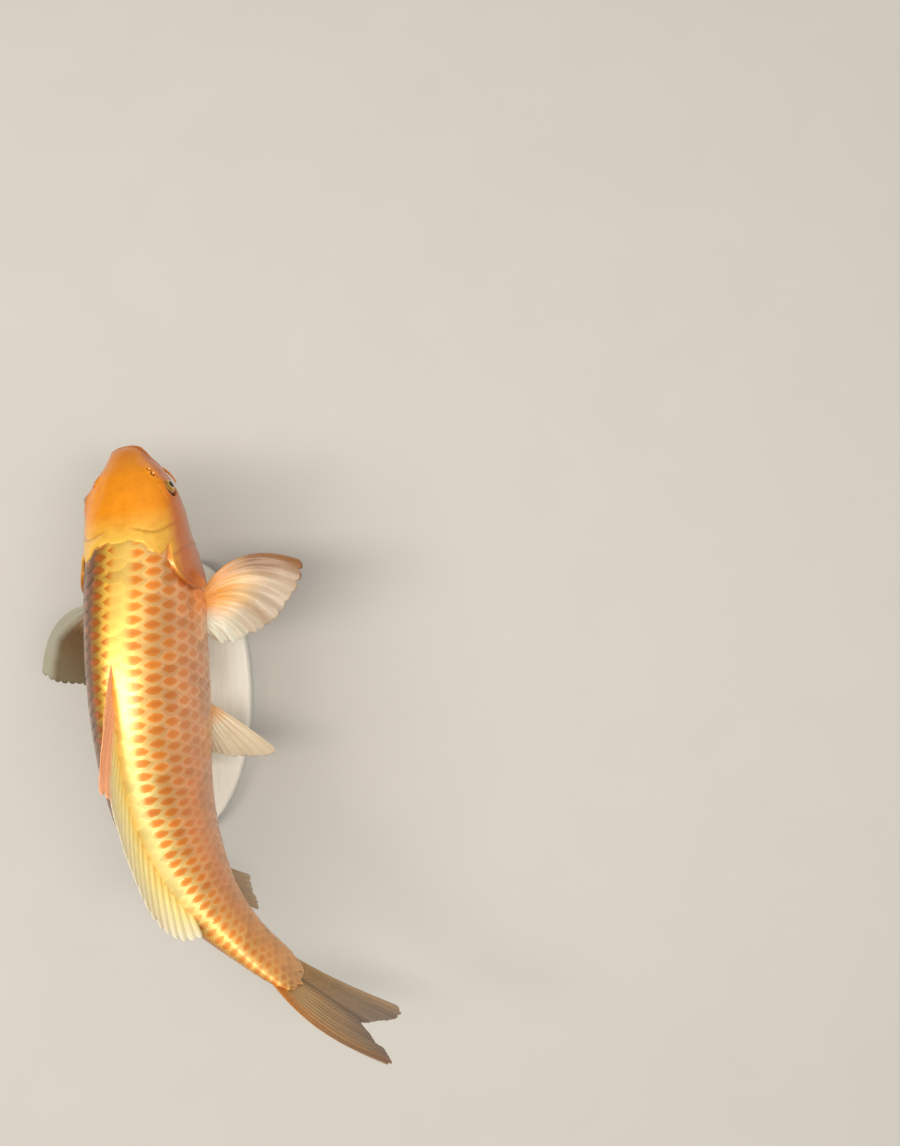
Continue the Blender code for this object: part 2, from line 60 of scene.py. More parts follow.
Array = np.ndarray
Numeric = Array | float
Table = tuple[tuple[float, ...], ...]
Attributes = dict[str, Array]
Pair = tuple[float, float]
Triple = tuple[float, float, float]


class Side(Enum):
    """A side of the fish, with its sign."""

    RIGHT = 1
    LEFT = -1

    @property
    def word(self) -> str:
        """The side's name in lower case."""
        return self.name.lower()


# --- curves


def smooth(value: Numeric) -> Array:
    """A step from 0 to 1 with gentle ends."""
    value = np.clip(value, 0.0, 1.0)
    return value * value * (3.0 - 2.0 * value)


def gate(value: Numeric, start: float, end: float) -> Array:
    """0 up to the start and 1 from the end, with gentle ends; the start may be the greater of the two."""
    return smooth((value - start) / (end - start))


def mix(first: Numeric, second: Numeric, part: Numeric) -> Array:
    """The value this part of the way from first to second."""
    return first + (second - first) * part


def hump(value: Numeric, width: float) -> Array:
    """A bell of height 1 round zero."""
    return np.exp(-((value / width) ** 2))


def eased(stations: Array, values: Array, at: Numeric) -> Array:
    """Read a smooth curve through the stations, without overshoot.

    Args:
        stations: rising positions.
        values: the value at each station.
        at: where to read.

    Returns:
        The values read, one for each place.
    """
    steps = np.diff(stations)
    slopes = np.diff(values) / steps
    sizes = np.abs(slopes)
    least = np.concatenate((sizes[:1], np.minimum(sizes[:-1], sizes[1:]), sizes[-1:]))
    middle = (slopes[:-1] + slopes[1:]) / 2 * (slopes[:-1] * slopes[1:] > 0)
    tangents = np.clip(np.concatenate((slopes[:1], middle, slopes[-1:])), -3 * least, 3 * least)
    at = np.clip(at, stations[0], stations[-1])
    cell = np.clip(np.searchsorted(stations, at) - 1, 0, len(steps) - 1)
    part = (at - stations[cell]) / steps[cell]
    start = tangents[cell] * steps[cell] * part * (1 - part) ** 2
    end = tangents[cell + 1] * steps[cell] * part * part * (part - 1)
    return mix(values[cell], values[cell + 1], smooth(part)) + start + end


def unit(vectors: Array) -> Array:
    """The vectors at length 1."""
    return vectors / np.maximum(np.linalg.norm(vectors, axis=-1, keepdims=True), TINY)


# --- body


@dataclass
class Spine:
    """The level line that the body is built along, bent to the fish's right.

    The bend starts and ends at parts of the length. Banks are given by millimetres along and degrees.
    """

    length: float = 450 * MM
    snout: Pair = (23.5 * MM, -170.0 * MM)
    height: float = 120 * MM
    head_heading: float = math.radians(11.0)
    neck_heading: float = math.radians(4.5)
    tail_heading: float = math.radians(55.0)
    neck: float = 120 * MM
    bend: Pair = (0.40, 0.84)
    banks: Table = ((-60, 6.0), (40, 7.0), (120, 12.5), (180, 13.0), (260, 10.5), (560, 10.0))
    ends: Pair = (-60 * MM, 560 * MM)
    step: float = 1 * MM

    def __post_init__(self) -> None:
        """Travel the headings into a table of points."""
        self.stations = np.arange(*self.ends, self.step)
        turn = gate(self.stations / self.length, *self.bend)
        bend = (self.tail_heading - self.neck_heading) * turn
        self.heading = mix(self.head_heading, self.neck_heading, smooth(self.stations / self.neck)) + bend
        places, degrees = np.array(self.banks).T
        self.bank = np.radians(eased(places * MM, degrees, self.stations))
        self.x = self._travel(-np.sin(self.heading)) + self.snout[0]
        self.y = self._travel(np.cos(self.heading)) + self.snout[1]

    def _travel(self, rate: Array) -> Array:
        """Add up a rate along the spine, from zero at the snout."""
        total = np.cumsum(rate) * self.step
        return total - np.interp(0.0, self.stations, total)

    def frames(self, along: Numeric) -> tuple[Array, Array, Array, Array]:
        """The spine's frame at each distance.

        Args:
            along: distances from the snout.

        Returns:
            Points, and the directions to the tail, the right and the back.
        """
        tables = (self.heading, self.bank, self.x, self.y)
        heading, bank, x, y = (np.interp(along, self.stations, table) for table in tables)
        flat = np.zeros_like(heading)
        points = np.stack((x, y, flat + self.height), -1)
        tail = np.stack((-np.sin(heading), np.cos(heading), flat), -1)
        lean = np.cos(bank)
        right = np.stack((-np.cos(heading) * lean, -np.sin(heading) * lean, np.sin(bank)), -1)
        return points, tail, right, np.cross(tail, right)

    def place(self, along: Numeric, out: Numeric, up: Numeric) -> Array:
        """The points this far along the spine, out to its right and up towards the back."""
        middle, _, right, back = self.frames(np.broadcast_arrays(along, out, up)[0])
        return middle + right * np.asarray(out)[..., None] + back * np.asarray(up)[..., None]


SECTIONS = (  # millimetres: along, back, widest level, belly, half width
    (0, -5.5, -8.0, -10.5, 4.0),
    (1.2, -2.5, -8.0, -14.0, 8.0),
    (4, 1.0, -8.0, -17.0, 11.0),
    (10, 6.0, -7.0, -19.5, 15.0),
    (17, 11.5, -5.0, -23.5, 21.0),
    (25, 16.5, -3.0, -27.5, 25.8),
    (34, 21.5, -2.0, -31.5, 29.3),
    (45, 27.0, -1.0, -36.0, 31.8),
    (68, 37.5, 0.0, -43.0, 33.5),
    (95, 46.0, 0.0, -48.5, 34.6),
    (130, 52.5, 0.0, -52.0, 34.8),
    (165, 54.5, 0.0, -53.0, 33.3),
    (200, 52.0, 0.0, -52.0, 30.6),
    (240, 45.0, 0.0, -47.5, 26.9),
    (275, 36.5, 0.0, -39.5, 22.4),
    (305, 28.5, 0.0, -30.0, 16.4),
    (335, 23.5, 0.0, -24.0, 10.8),
    (360, 22.5, 0.0, -22.5, 7.0),
    (366, 21.9, 0.0, -21.9, 5.2),
    (371, 20.6, 0.0, -20.6, 3.6),
    (375, 18.4, 0.0, -18.4, 2.3),
    (378, 15.6, 0.0, -15.6, 1.4),
    (383, 13.0, 0.0, -13.0, 0.7),
)


@dataclass
class Body:
    """The outline of the flesh, with a map of how far round it each turn lies.

    A swelling has its place in mm and its turn in degrees, then its width and its rise in mm. The probe is
    the step along and the step round over which slopes are measured.
    """

    spine: Spine
    back_roundness: float = 0.93
    belly_roundness: float = 0.85
    coat_depth: float = 0.7 * MM
    swellings: Table = ((108.0, 125.0, 8.0, 1.5), (173.0, 149.0, 7.0, 1.2))
    end: float = 384 * MM
    mark_step: float = 2 * MM
    turns: int = 181
    shares: int = 121
    probe: Pair = (0.5 * MM, 0.02)

    def __post_init__(self) -> None:
        """Measure the way round every section, from the back to the belly."""
        table = np.array(SECTIONS) * MM
        self.stations, self.columns = table[:, 0], table[:, 1:].T
        self.marks = np.arange(0.0, self.end, self.mark_step)
        turns = np.linspace(0.0, np.pi, self.turns)
        out, up = self.offsets(self.marks[:, None], turns[None, :], -self.coat_depth)
        step = np.hypot(np.diff(out, axis=1), np.diff(up, axis=1))
        arcs = np.concatenate((np.zeros((len(self.marks), 1)), np.cumsum(step, axis=1)), axis=1)
        self.half_girths = arcs[:, -1]
        shares = np.linspace(0.0, 1.0, self.shares)
        self.turn_table = np.array([np.interp(shares * row[-1], row, turns) for row in arcs])

    def profile(self, along: Numeric) -> list[Array]:
        """Back, widest level, belly and half width at each distance."""
        return [eased(self.stations, column, along) for column in self.columns]

    def offsets(self, along: Numeric, turn: Numeric, grow: float = 0.0) -> tuple[Array, Array]:
        """Find the surface in the plane of each section.

        Args:
            along: distances along the spine.
            turn: turns about it.
            grow: how far outside the surface, instead of on it.

        Returns:
            Distances out and up from the spine.
        """
        along, turn = np.broadcast_arrays(along, turn)
        back, level, belly, half = self.profile(along)
        across, rise = np.sin(turn), np.cos(turn)
        power = np.where(rise > 0, self.back_roundness, self.belly_roundness)
        out = (half + grow) * np.sign(across) * np.abs(across) ** power
        return out, level + (np.where(rise > 0, back - level, level - belly) + grow) * rise

    def surface(self, along: Numeric, turn: Numeric, grow: float = 0.0) -> Array:
        """Points of the surface."""
        out, up = self.offsets(along, turn, grow)
        return self.spine.place(np.broadcast_to(along, out.shape), out, up)

    def girth(self, along: Numeric) -> Array:
        """The way round from the back to the belly, on one side."""
        return np.interp(along, self.marks, self.half_girths)

    def turn_at(self, along: Numeric, arc: Numeric) -> Array:
        """Find the turn that lies this far round from the back.

        Args:
            along: distances along the spine.
            arc: distances round the skin, positive to the right.

        Returns:
            The turns, positive to the right.
        """
        share = np.clip(np.abs(arc) / self.girth(along), 0.0, 0.9995) * (self.shares - 1)
        row = np.clip(along / self.mark_step, 0, len(self.marks) - 1.001)
        i, j = row.astype(int), share.astype(int)
        table = self.turn_table
        near = mix(table[i, j], table[i, j + 1], share - j)
        far = mix(table[i + 1, j], table[i + 1, j + 1], share - j)
        return np.sign(arc) * mix(near, far, row - i)

    def swelling(self, along: Array, turn: Array) -> Array:
        """Measure how far the flesh stands out over the muscles of the paired fins.

        Args:
            along: distances along the spine.
            turn: turns about it; both sides are the same.

        Returns:
            The rise at each place.
        """
        total = np.zeros_like(along * turn)
        for place, degrees, width, rise in self.swellings:
            round_ = (np.abs(turn) - math.radians(degrees)) * self.girth(along) / np.pi
            total = total + rise * MM * hump(np.hypot(along - place * MM, round_), width * MM)
        return total

    def normals(self, along: Numeric, turn: Numeric) -> Array:
        """Find the outward directions of the surface.

        Args:
            along: distances along the spine.
            turn: turns about it.

        Returns:
            Directions of length 1.
        """
        step, angle = self.probe
        ahead = self.surface(along + step, turn) - self.surface(along - step, turn)
        around = self.surface(along, turn + angle) - self.surface(along, turn - angle)
        return unit(np.cross(ahead, around))


# --- meshes


def staged(data: bpy.types.ID) -> Object:
    """Put a new object in the scene.

    Args:
        data: its mesh, light or camera, which gives its name.

    Returns:
        The object.
    """
    made = bpy.data.objects.new(data.name, data)
    bpy.context.scene.collection.objects.link(made)
    return made


def dress(mesh: Mesh, finish: Material, nodes: Sequence[str]) -> Object:
    """Make a finished piece of a mesh.

    Args:
        mesh: its mesh, named and already in place.
        finish: its material.
        nodes: the solids it stands for.

    Returns:
        The new object, riding on the body.
    """
    piece = staged(mesh)
    mesh.materials.clear()
    mesh.materials.append(finish)
    mesh.shade_smooth()
    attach(piece, "root")
    if nodes:
        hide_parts(*nodes)
    return piece


def set_attributes(mesh: Mesh, values: Attributes) -> None:
    """Store numbers on a mesh, one for each point under each name."""
    for name, numbers in values.items():
        mesh.attributes.new(name, "FLOAT", "POINT").data.foreach_set("value", np.float32(numbers).ravel())


def poured(shape: bmesh.types.BMesh, name: str) -> Mesh:
    """Turn a shape into a mesh and let go of the shape.

    Args:
        shape: the shape, finished.
        name: the mesh's name.

    Returns:
        The new mesh.
    """
    mesh = bpy.data.meshes.new(name)
    shape.to_mesh(mesh)
    shape.free()
    return mesh


def points_of(mesh: Mesh) -> Array:
    """The mesh's points, one row of three for each."""
    return np.array([point.co for point in mesh.vertices])


def woven(
    name: str, columns: int, rows: int, place: Callable[[Array, Array], tuple[Array, Attributes]]
) -> Mesh:
    """Shape a grid into a surface, then merge the points that meet and turn the faces outwards.

    Args:
        name: the mesh's name.
        columns: cells across.
        rows: cells along.
        place: gives points and attributes for two tables of parts from 0 to 1.

    Returns:
        The mesh, with its flat layout kept as the map for baking.
    """
    grid = bmesh.new()
    grid.loops.layers.uv.new(BAKE_MAP)
    bmesh.ops.create_grid(grid, x_segments=columns, y_segments=rows, size=0.5, calc_uvs=True)
    mesh = poured(grid, name)
    flat = points_of(mesh)[:, :2] + 0.5
    column, row = np.rint(flat * (columns, rows)).astype(int).T
    across, along = np.meshgrid(np.linspace(0, 1, columns + 1), np.linspace(0, 1, rows + 1))
    points, values = place(across, along)
    mesh.vertices.foreach_set("co", points[row, column].astype(np.float32).ravel())
    set_attributes(mesh, {key: table[row, column] for key, table in values.items()})
    shape = bmesh.new()
    shape.from_mesh(mesh)
    bmesh.ops.remove_doubles(shape, verts=shape.verts, dist=MERGE)
    bmesh.ops.dissolve_degenerate(shape, edges=shape.edges, dist=MERGE / 2)
    bmesh.ops.recalc_face_normals(shape, faces=shape.faces)
    shape.to_mesh(mesh)
    shape.free()
    return mesh


def surface_normals(points: Array) -> Array:
    """Directions square to a table of points, by its neighbours."""
    around, ahead = np.gradient(points, axis=1), np.gradient(points, axis=0)
    return unit(np.cross(around, ahead))


# --- materials

Adder = Callable[..., NodeSocket]
Numbers = dict[str, NodeSocket]
Inputs = dict[str | int, object]
Stops = tuple[tuple[float, float | str], ...]
Coat = tuple[NodeSocket, Stops | None, str | NodeSocket]


def linear(colour: str) -> tuple[float, float, float, float]:
    """Linear red, green and blue, and 1, of an sRGB colour as #RRGGBB."""
    parts = (int(colour[i : i + 2], 16) / 255 for i in (1, 3, 5))
    return (*(part / 12.92 if part <= 0.04045 else ((part + 0.055) / 1.055) ** 2.4 for part in parts), 1.0)


def feed(node: Node, inputs: Inputs) -> None:
    """Link or set the inputs of a node.

    Args:
        node: the node.
        inputs: a socket to link, or a value or hex colour to set, by the input's name or number.
    """
    for name, value in inputs.items():
        if isinstance(value, NodeSocket):
            node.id_data.links.new(value, node.inputs[name])
        else:
            node.inputs[name].default_value = linear(value) if isinstance(value, str) else value


def add_node(
    tree: NodeTree,
    kind: str,
    inputs: Inputs | None = None,
    output: int | str = 0,
    stops: Stops = (),
    **settings: object,
) -> NodeSocket:
    """Add a node with its settings and links.

    Args:
        tree: the node tree of the material.
        kind: the node's type, without ShaderNode.
        inputs: a socket, a value or a hex colour for inputs by name or number.
        output: the name or number of the output that is wanted.
        stops: where the node is a ramp, a grey or a hex colour at each place.
        settings: the node's own properties.

    Returns:
        The output's socket.
    """
    node = tree.nodes.new(f"ShaderNode{kind}")
    for name, value in settings.items():
        setattr(node, name, value)
    for index, (place, colour) in enumerate(stops):
        elements = node.color_ramp.elements
        element = elements[index] if index < len(elements) else elements.new(place)
        element.position = place
        element.color = linear(colour) if isinstance(colour, str) else (colour, colour, colour, 1.0)
    feed(node, inputs or {})
    return node.outputs[output]


def speckle(add: Adder, lump_mm: float, detail: float = 3.0, stretch: Triple = (1, 1, 1)) -> NodeSocket:
    """An uneven pattern, fixed to the piece, whose lumps are about this many millimetres across."""
    place = add("Mapping", {"Vector": add("TexCoord", output="Object"), "Scale": stretch})
    return add("TexNoise", {"Vector": place, "Scale": 1000.0 / lump_mm, "Detail": detail, "Roughness": 0.55})


def strayed(add: Adder, number: NodeSocket, amount: float, lump_mm: float, detail: float = 3.0) -> NodeSocket:
    """The number, astray by up to half the amount either way, in lumps of about this many millimetres."""
    stray = {0: speckle(add, lump_mm, detail), 1: amount, 2: -amount / 2}
    return add("Math", {0: number, 1: add("Math", stray, operation="MULTIPLY_ADD")}, operation="ADD")


def glaze(add: Adder, ground: str | NodeSocket, coats: Sequence[Coat]) -> NodeSocket:
    """Lay thin coats of colour over a ground.

    Args:
        add: adds a node to the material.
        ground: the colour underneath.
        coats: for each, a number, how strong the coat is along that number, and its colour.

    Returns:
        The colour of it all.
    """
    for number, stops, tint in coats:
        strength = add("ValToRGB", {"Fac": number}, stops=stops) if stops else number
        ground = add("Mix", {0: strength, 6: ground, 7: tint}, 2, data_type="RGBA")
    return ground


def both(add: Adder, *ramps: tuple[NodeSocket, Stops]) -> NodeSocket:
    """The product of two ramps, each given as a number to read and the stops along it."""
    first, second = (add("ValToRGB", {"Fac": number}, stops=stops) for number, stops in ramps)
    return add("Math", {0: first, 1: second}, operation="MULTIPLY")


@dataclass(frozen=True)
class Finish:
    """A finish for a piece. Each kind names the numbers that the piece carries, and feeds its shader."""

    name: str
    reads: ClassVar[tuple[str, ...]] = ()

    def inputs(self, add: Adder, read: Numbers) -> Inputs:
        """What goes into the shader; add adds a node, and read holds the piece's numbers."""
        raise NotImplementedError

    def build(self) -> Material:
        """Make the material.

        Returns:
            The material, ready for its pieces.
        """
        made = bpy.data.materials.new(self.name)
        made.use_nodes = True
        add = partial(add_node, made.node_tree)
        read = {name: add("Attribute", output="Fac", attribute_name=name) for name in self.reads}
        feed(made.node_tree.nodes["Principled BSDF"], self.inputs(add, read))
        return made


@dataclass(frozen=True)
class KoiMarkings:
    """The metallic gold of skin and scales, from the left side of the belly over the back to the right."""

    # the dark browns of the left flank, from 0.18 to 0.43, are painted shade; the pale left belly is the
    # fish's own
    left: Stops = ((0.04, "#E8BE84"), (0.18, "#96602E"), (0.34, "#4E2C12"), (0.43, "#643814"))
    back: Stops = ((0.48, "#CC7A20"), (0.52, "#F89C1E"), (0.58, "#F89A2A"), (0.64, "#E88E3A"))
    right: Stops = ((0.72, "#DA884A"), (0.84, "#DA965A"), (0.96, "#F2CC94"))
    snout: str = "#D88A3C"
    brow: str = "#FF9E14"
    nape: str = "#FFC850"
    # darker, redder cheeks and gill covers below the bright crown: painted shade
    cheek: str = "#C96A2A"
    throat: str = "#E8B070"
    mottle: str = "#CF6A12"
    fleck: str = "#E07E1A"
    rump: str = "#E8A450"
    tail_root: str = "#D09A50"
    # pale yellow painted highlight along the back beside the dorsal fin
    crest: str = "#FFF2A0"
    crest_turns: Stops = ((0.46, 0.0), (0.50, 1.0), (0.565, 1.0), (0.60, 0.0))
    crest_length: Stops = ((0.36, 0.0), (0.48, 0.85), (0.64, 0.85), (0.71, 0.0))

    def gilded(self, add: Adder, read: Numbers) -> NodeSocket:
        """How strongly the painted highlight on the back shows, beside the dorsal fin."""
        return both(add, (read["turn"], self.crest_turns), (read["along"], self.crest_length))

    def colour(self, add: Adder, read: Numbers) -> NodeSocket:
        """Colour the fish by the place along it and round it.

        Args:
            add: adds a node.
            read: the piece's numbers.

        Returns:
            The base colour.
        """
        crown = ((0.0, self.snout), (0.045, self.brow), (0.095, self.brow), (0.13, self.nape))
        # painted shade on the cheeks and gill covers
        cheek = (read["girth"], ((0.30, 0.0), (0.39, 1.0)), self.cheek)
        throat = (read["girth"], ((0.66, 0.0), (0.82, 1.0)), self.throat)
        face = glaze(add, add("ValToRGB", {"Fac": read["along"]}, stops=crown), (cheek, throat))
        coats = (
            (read["head"], None, face),
            (read["along"], ((0.63, 0.0), (0.76, 0.65)), self.rump),
            (read["along"], ((0.80, 0.0), (0.835, 1.0)), self.tail_root),
            (speckle(add, 34, 4.0), ((0.46, 0.0), (0.74, 0.4)), self.mottle),
            (speckle(add, 5.5), ((0.45, 0.0), (0.72, 0.3)), self.fleck),
        )
        around = self.left + self.back + self.right
        return glaze(add, add("ValToRGB", {"Fac": read["turn"]}, stops=around), coats)


@dataclass(frozen=True)
class WetSkin(Finish):
    """Living carp skin: reflecting cells under clear slime, wet and lustrous, with fine pores."""

    name: str = "wet_metallic_carp_skin"
    markings: KoiMarkings = KoiMarkings()
    # the colour of the painted shade in the head's slits, grooves, pits and at the roots of the feelers
    groove: str = "#9A4E14"
    pore_mm: float = 1.3
    softness_mm: float = 7.0
    reads: ClassVar[tuple[str, ...]] = ("turn", "along", "girth", "head", "pit")

    def inputs(self, add: Adder, read: Numbers) -> Inputs:
        """Feed the shader: the markings, with painted shade in slits, grooves and pits, under a coat of
        slime.

        Args:
            add: adds a node.
            read: the piece's numbers.

        Returns:
            The shader's inputs.
        """
        pores, soft = speckle(add, self.pore_mm), speckle(add, self.softness_mm)
        fine = add("Math", {0: pores, 1: 0.5}, operation="MULTIPLY")
        height = add("Math", {0: soft, 1: 1.6, 2: fine}, operation="MULTIPLY_ADD")
        return {
            # painted shade darkens the slits, grooves and pits
            "Base Color": glaze(add, self.markings.colour(add, read), ((read["pit"], None, self.groove),)),
            "Metallic": 0.3,
            "Roughness": add("MapRange", {"Value": pores, "To Min": 0.26, "To Max": 0.42}),
            "IOR": 1.38,
            "Normal": add("Bump", {"Height": height, "Distance": 0.26 * MM}),
            "Coat Weight": 0.7,
            "Coat Roughness": 0.16,
        }


@dataclass(frozen=True)
class GoldScale(Finish):
    """A carp scale over guanine crystals: bone-clear plate, gold sheen, a pale lustrous free edge."""

    name: str = "lustrous_carp_scale"
    markings: KoiMarkings = KoiMarkings()
    # the dark net of the left flank is painted shade; the pale left belly is the fish's own
    left_net: Stops = ((0.1, "#E8C490"), (0.34, "#6A421E"), (0.43, "#7C4E24"))
    back_net: Stops = ((0.48, "#FFCC58"), (0.53, "#FFD870"), (0.58, "#FFCE78"), (0.64, "#F6B87C"))
    right_net: Stops = ((0.72, "#E8A878"), (0.86, "#E8B488"), (0.95, "#F4DDB4"))
    edge: Stops = ((0.78, 0.0), (0.96, 0.8), (1.0, 0.92))
    # a band along the ridge of the back where the pale net covers whole scales: painted highlight
    ridge: Stops = ((0.485, 0.0), (0.50, 0.85), (0.535, 0.85), (0.555, 0.0))
    ridge_length: Stops = ((0.62, 1.0), (0.72, 0.0))
    quiet_turns: Stops = ((0.62, 0.0), (0.70, 0.6))
    quiet_length: Stops = ((0.38, 0.0), (0.52, 1.0))
    lens_middle: float = 0.55
    lens_half: Pair = (0.66, 0.27)
    raggedness: float = 0.5
    root: str = "#C85E10"
    rear_net: str = "#F0B468"
    growth_rings: float = 26.0
    reads: ClassVar[tuple[str, ...]] = ("turn", "along", "girth", "head", "tone", "aside", "reach")

    def lens(self, add: Adder, read: Numbers) -> NodeSocket:
        """Measure how far each place lies from the middle of the orange lens on its scale.

        Args:
            add: adds a node.
            read: the piece's numbers.

        Returns:
            The distance, about 1 at the lens's edge.
        """
        half_wide, half_high = self.lens_half
        across = add("Math", {0: read["aside"], 1: half_wide}, operation="DIVIDE")
        scaled = {0: read["reach"], 1: 1 / half_high, 2: -self.lens_middle / half_high}
        down = add("Math", {0: add("Math", scaled, operation="MULTIPLY_ADD")}, operation="ABSOLUTE")
        lens = add("Math", {0: across, 1: across, 2: down}, operation="MULTIPLY_ADD")
        return strayed(add, lens, self.raggedness, 2.2, 2.0)

    def net(self, add: Adder, read: Numbers, lens: NodeSocket) -> NodeSocket:
        """Find where the pale net shows, less on the right of the rear, and all of it on the ridge of the
        back as painted highlight.

        Args:
            add: adds a node.
            read: the piece's numbers.
            lens: the distance from the middle of the scale's lens.

        Returns:
            How much of the net shows.
        """
        edges = add("ValToRGB", {"Fac": lens}, stops=self.edge)
        # painted highlight: the net covers whole scales along the ridge of the back
        crest = both(add, (read["turn"], self.ridge), (read["along"], self.ridge_length))
        shown = add("Math", {0: edges, 1: crest}, operation="MAXIMUM")
        quiet = both(add, (read["turn"], self.quiet_turns), (read["along"], self.quiet_length))
        rest = add("Math", {0: 1.0, 1: quiet}, operation="SUBTRACT")
        return add("Math", {0: shown, 1: rest}, operation="MULTIPLY")

    def inputs(self, add: Adder, read: Numbers) -> Inputs:
        """Feed the shader: orange in the middle, a pale net along each free edge, and growth rings.

        Args:
            add: adds a node.
            read: the piece's numbers.

        Returns:
            The shader's inputs.
        """
        lens = self.lens(add, read)
        net = self.net(add, read, lens)
        deep = both(add, (lens, ((0.1, 1.0), (0.8, 0.0))), (read["girth"], ((0.22, 0.45), (0.42, 0.15))))
        shine_coats = (
            (read["along"], ((0.60, 0.0), (0.76, 0.8)), self.rear_net),
            # painted highlight along the back beside the dorsal fin
            (self.markings.gilded(add, read), None, self.markings.crest),
        )
        around = self.left_net + self.back_net + self.right_net
        shine = glaze(add, add("ValToRGB", {"Fac": read["turn"]}, stops=around), shine_coats)
        colour = glaze(add, self.markings.colour(add, read), ((deep, None, self.root), (net, None, shine)))
        varied = add("MapRange", {"Value": read["tone"], "To Min": 0.86, "To Max": 1.12})
        waves = add("Math", {0: lens, 1: self.growth_rings}, operation="MULTIPLY")
        grain = speckle(add, 0.9, 2.0)
        rings = {0: add("Math", {0: waves}, operation="SINE"), 1: 0.10, 2: grain}
        # the thin rear catches the lamp in a hard line unless it is duller
        duller = add("MapRange", {0: read["along"], 1: 0.60, 2: 0.76, 3: 0.0, 4: 0.22})
        roughness = add("MapRange", {"Value": grain, "To Min": 0.24, "To Max": 0.40})
        relief = {"Height": add("Math", rings, operation="MULTIPLY_ADD"), "Distance": 0.05 * MM}
        return {
            "Base Color": add("HueSaturation", {"Value": varied, "Color": colour}),
            "Metallic": add("MapRange", {"Value": net, "To Min": 0.30, "To Max": 0.55}),
            "Roughness": add("Math", {0: roughness, 1: duller}, operation="ADD"),
            "IOR": 1.5,
            "Normal": add("Bump", relief),
            "Coat Weight": 0.6,
            "Coat Roughness": 0.22,
        }


@dataclass(frozen=True)
class Band:
    """A stripe of colour over some of a fin's rays."""

    tint: str
    across: Stops
    out: Stops = ((0.0, 1.0), (1.0, 1.0))


@dataclass(frozen=True)
class RayedMembrane(Finish):
    """Fin tissue: bony rays under thin wet skin, tinted near the body and clearing to the edge."""

    base: str
    middle: str
    edge: str
    ray: str
    spread: Triple = (0.12, 0.5, 0.95)
    bands: tuple[Band, ...] = ()
    joints: float = 220.0
    drift: float = 0.35
    wander: float = 0.12
    reads: ClassVar[tuple[str, ...]] = ("out", "across", "ray")

    def inputs(self, add: Adder, read: Numbers) -> Inputs:
        """Feed the shader: tissue, jointed rays, and bands of colour along some of them.

        Args:
            add: adds a node.
            read: the piece's numbers.

        Returns:
            The shader's inputs.
        """
        out, rays = read["out"], read["ray"]
        tints = tuple(zip(self.spread, (self.base, self.middle, self.edge)))
        tissue = add("ValToRGB", {"Fac": strayed(add, out, self.drift, 16)}, stops=tints)
        fade = add("ValToRGB", {"Fac": out}, stops=((0.2, 0.75), (1.0, 0.25)))
        coats: list[Coat] = [(add("Math", {0: rays, 1: fade}, operation="MULTIPLY"), None, self.ray)]
        place = strayed(add, read["across"], self.wander, 20, 2.0)
        for band in self.bands:
            coats.append((both(add, (place, band.across), (out, band.out)), None, band.tint))
        waves = add("Math", {0: out, 1: self.joints}, operation="MULTIPLY")
        proud = add("Math", {0: rays, 1: 0.22}, operation="MULTIPLY")
        knuckles = {0: add("Math", {0: waves}, operation="SINE"), 1: proud, 2: speckle(add, 1.6)}
        relief = {"Height": add("Math", knuckles, operation="MULTIPLY_ADD"), "Distance": 0.12 * MM}
        return {
            "Base Color": glaze(add, tissue, coats),
            "Roughness": add("MapRange", {"Value": speckle(add, 5.0, 2.0), "To Min": 0.34, "To Max": 0.52}),
            "IOR": 1.4,
            "Normal": add("Bump", relief),
            "Coat Weight": 0.35,
            "Coat Roughness": 0.2,
            "Subsurface Weight": 0.15,
            "Subsurface Radius": (0.004, 0.0025, 0.0015),
            "Subsurface Scale": 0.5,
        }


@dataclass(frozen=True)
class CarpEye(Finish):
    """A carp's eye: black pupil, flecked gold iris with a dark rim, under a clear wet cornea."""

    name: str = "wet_carp_eye"
    pupil: str = "#060504"
    ring: str = "#F6D27A"
    iris: str = "#C98A2C"
    rim: str = "#3A2410"
    reads: ClassVar[tuple[str, ...]] = ("polar",)

    def inputs(self, add: Adder, read: Numbers) -> Inputs:
        """Feed the shader, coloured by the angle from the eye's axis.

        Args:
            add: adds a node.
            read: the piece's numbers.

        Returns:
            The shader's inputs.
        """
        polar = read["polar"]
        flecked = strayed(add, polar, 0.05, 0.9)
        inner = ((0.095, self.pupil), (0.105, self.ring), (0.14, self.iris))
        rings = (*inner, (0.215, self.iris), (0.25, self.rim))
        sheen = ((0.10, 0.0), (0.11, 0.75), (0.22, 0.75), (0.25, 0.0))
        return {
            "Base Color": add("ValToRGB", {"Fac": flecked}, stops=rings),
            "Metallic": add("ValToRGB", {"Fac": polar}, stops=sheen),
            "Roughness": 0.3,
            "IOR": 1.38,
            "Normal": add("Bump", {"Height": speckle(add, 0.5, 2.0), "Distance": 0.02 * MM}),
            "Coat Weight": 1.0,
            "Coat Roughness": 0.02,
        }


@dataclass(frozen=True)
class LacqueredWood(Finish):
    """Close-grained wood under satin off-white lacquer: faint grain along the base, soft sheen."""

    name: str = "satin_lacquered_wood"
    colour: str = "#E6E2DA"
    shade: str = "#D8D2C7"

    def inputs(self, add: Adder, read: Numbers) -> Inputs:
        """Feed the shader: long faint grain that tints the lacquer and lifts it a little.

        Args:
            add: adds a node.
            read: the piece's numbers, of which there are none; not used.

        Returns:
            The shader's inputs.
        """
        grain = speckle(add, 3.0, 4.0, (1.0, 0.08, 1.0))
        return {
            "Base Color": glaze(add, self.colour, ((grain, ((0.35, 0.0), (0.7, 0.6)), self.shade),)),
            "Roughness": add("MapRange", {"Value": speckle(add, 14, 2.0), "To Min": 0.30, "To Max": 0.42}),
            "IOR": 1.5,
            "Normal": add("Bump", {"Height": grain, "Distance": 0.02 * MM}),
            "Coat Weight": 0.25,
            "Coat Roughness": 0.25,
        }


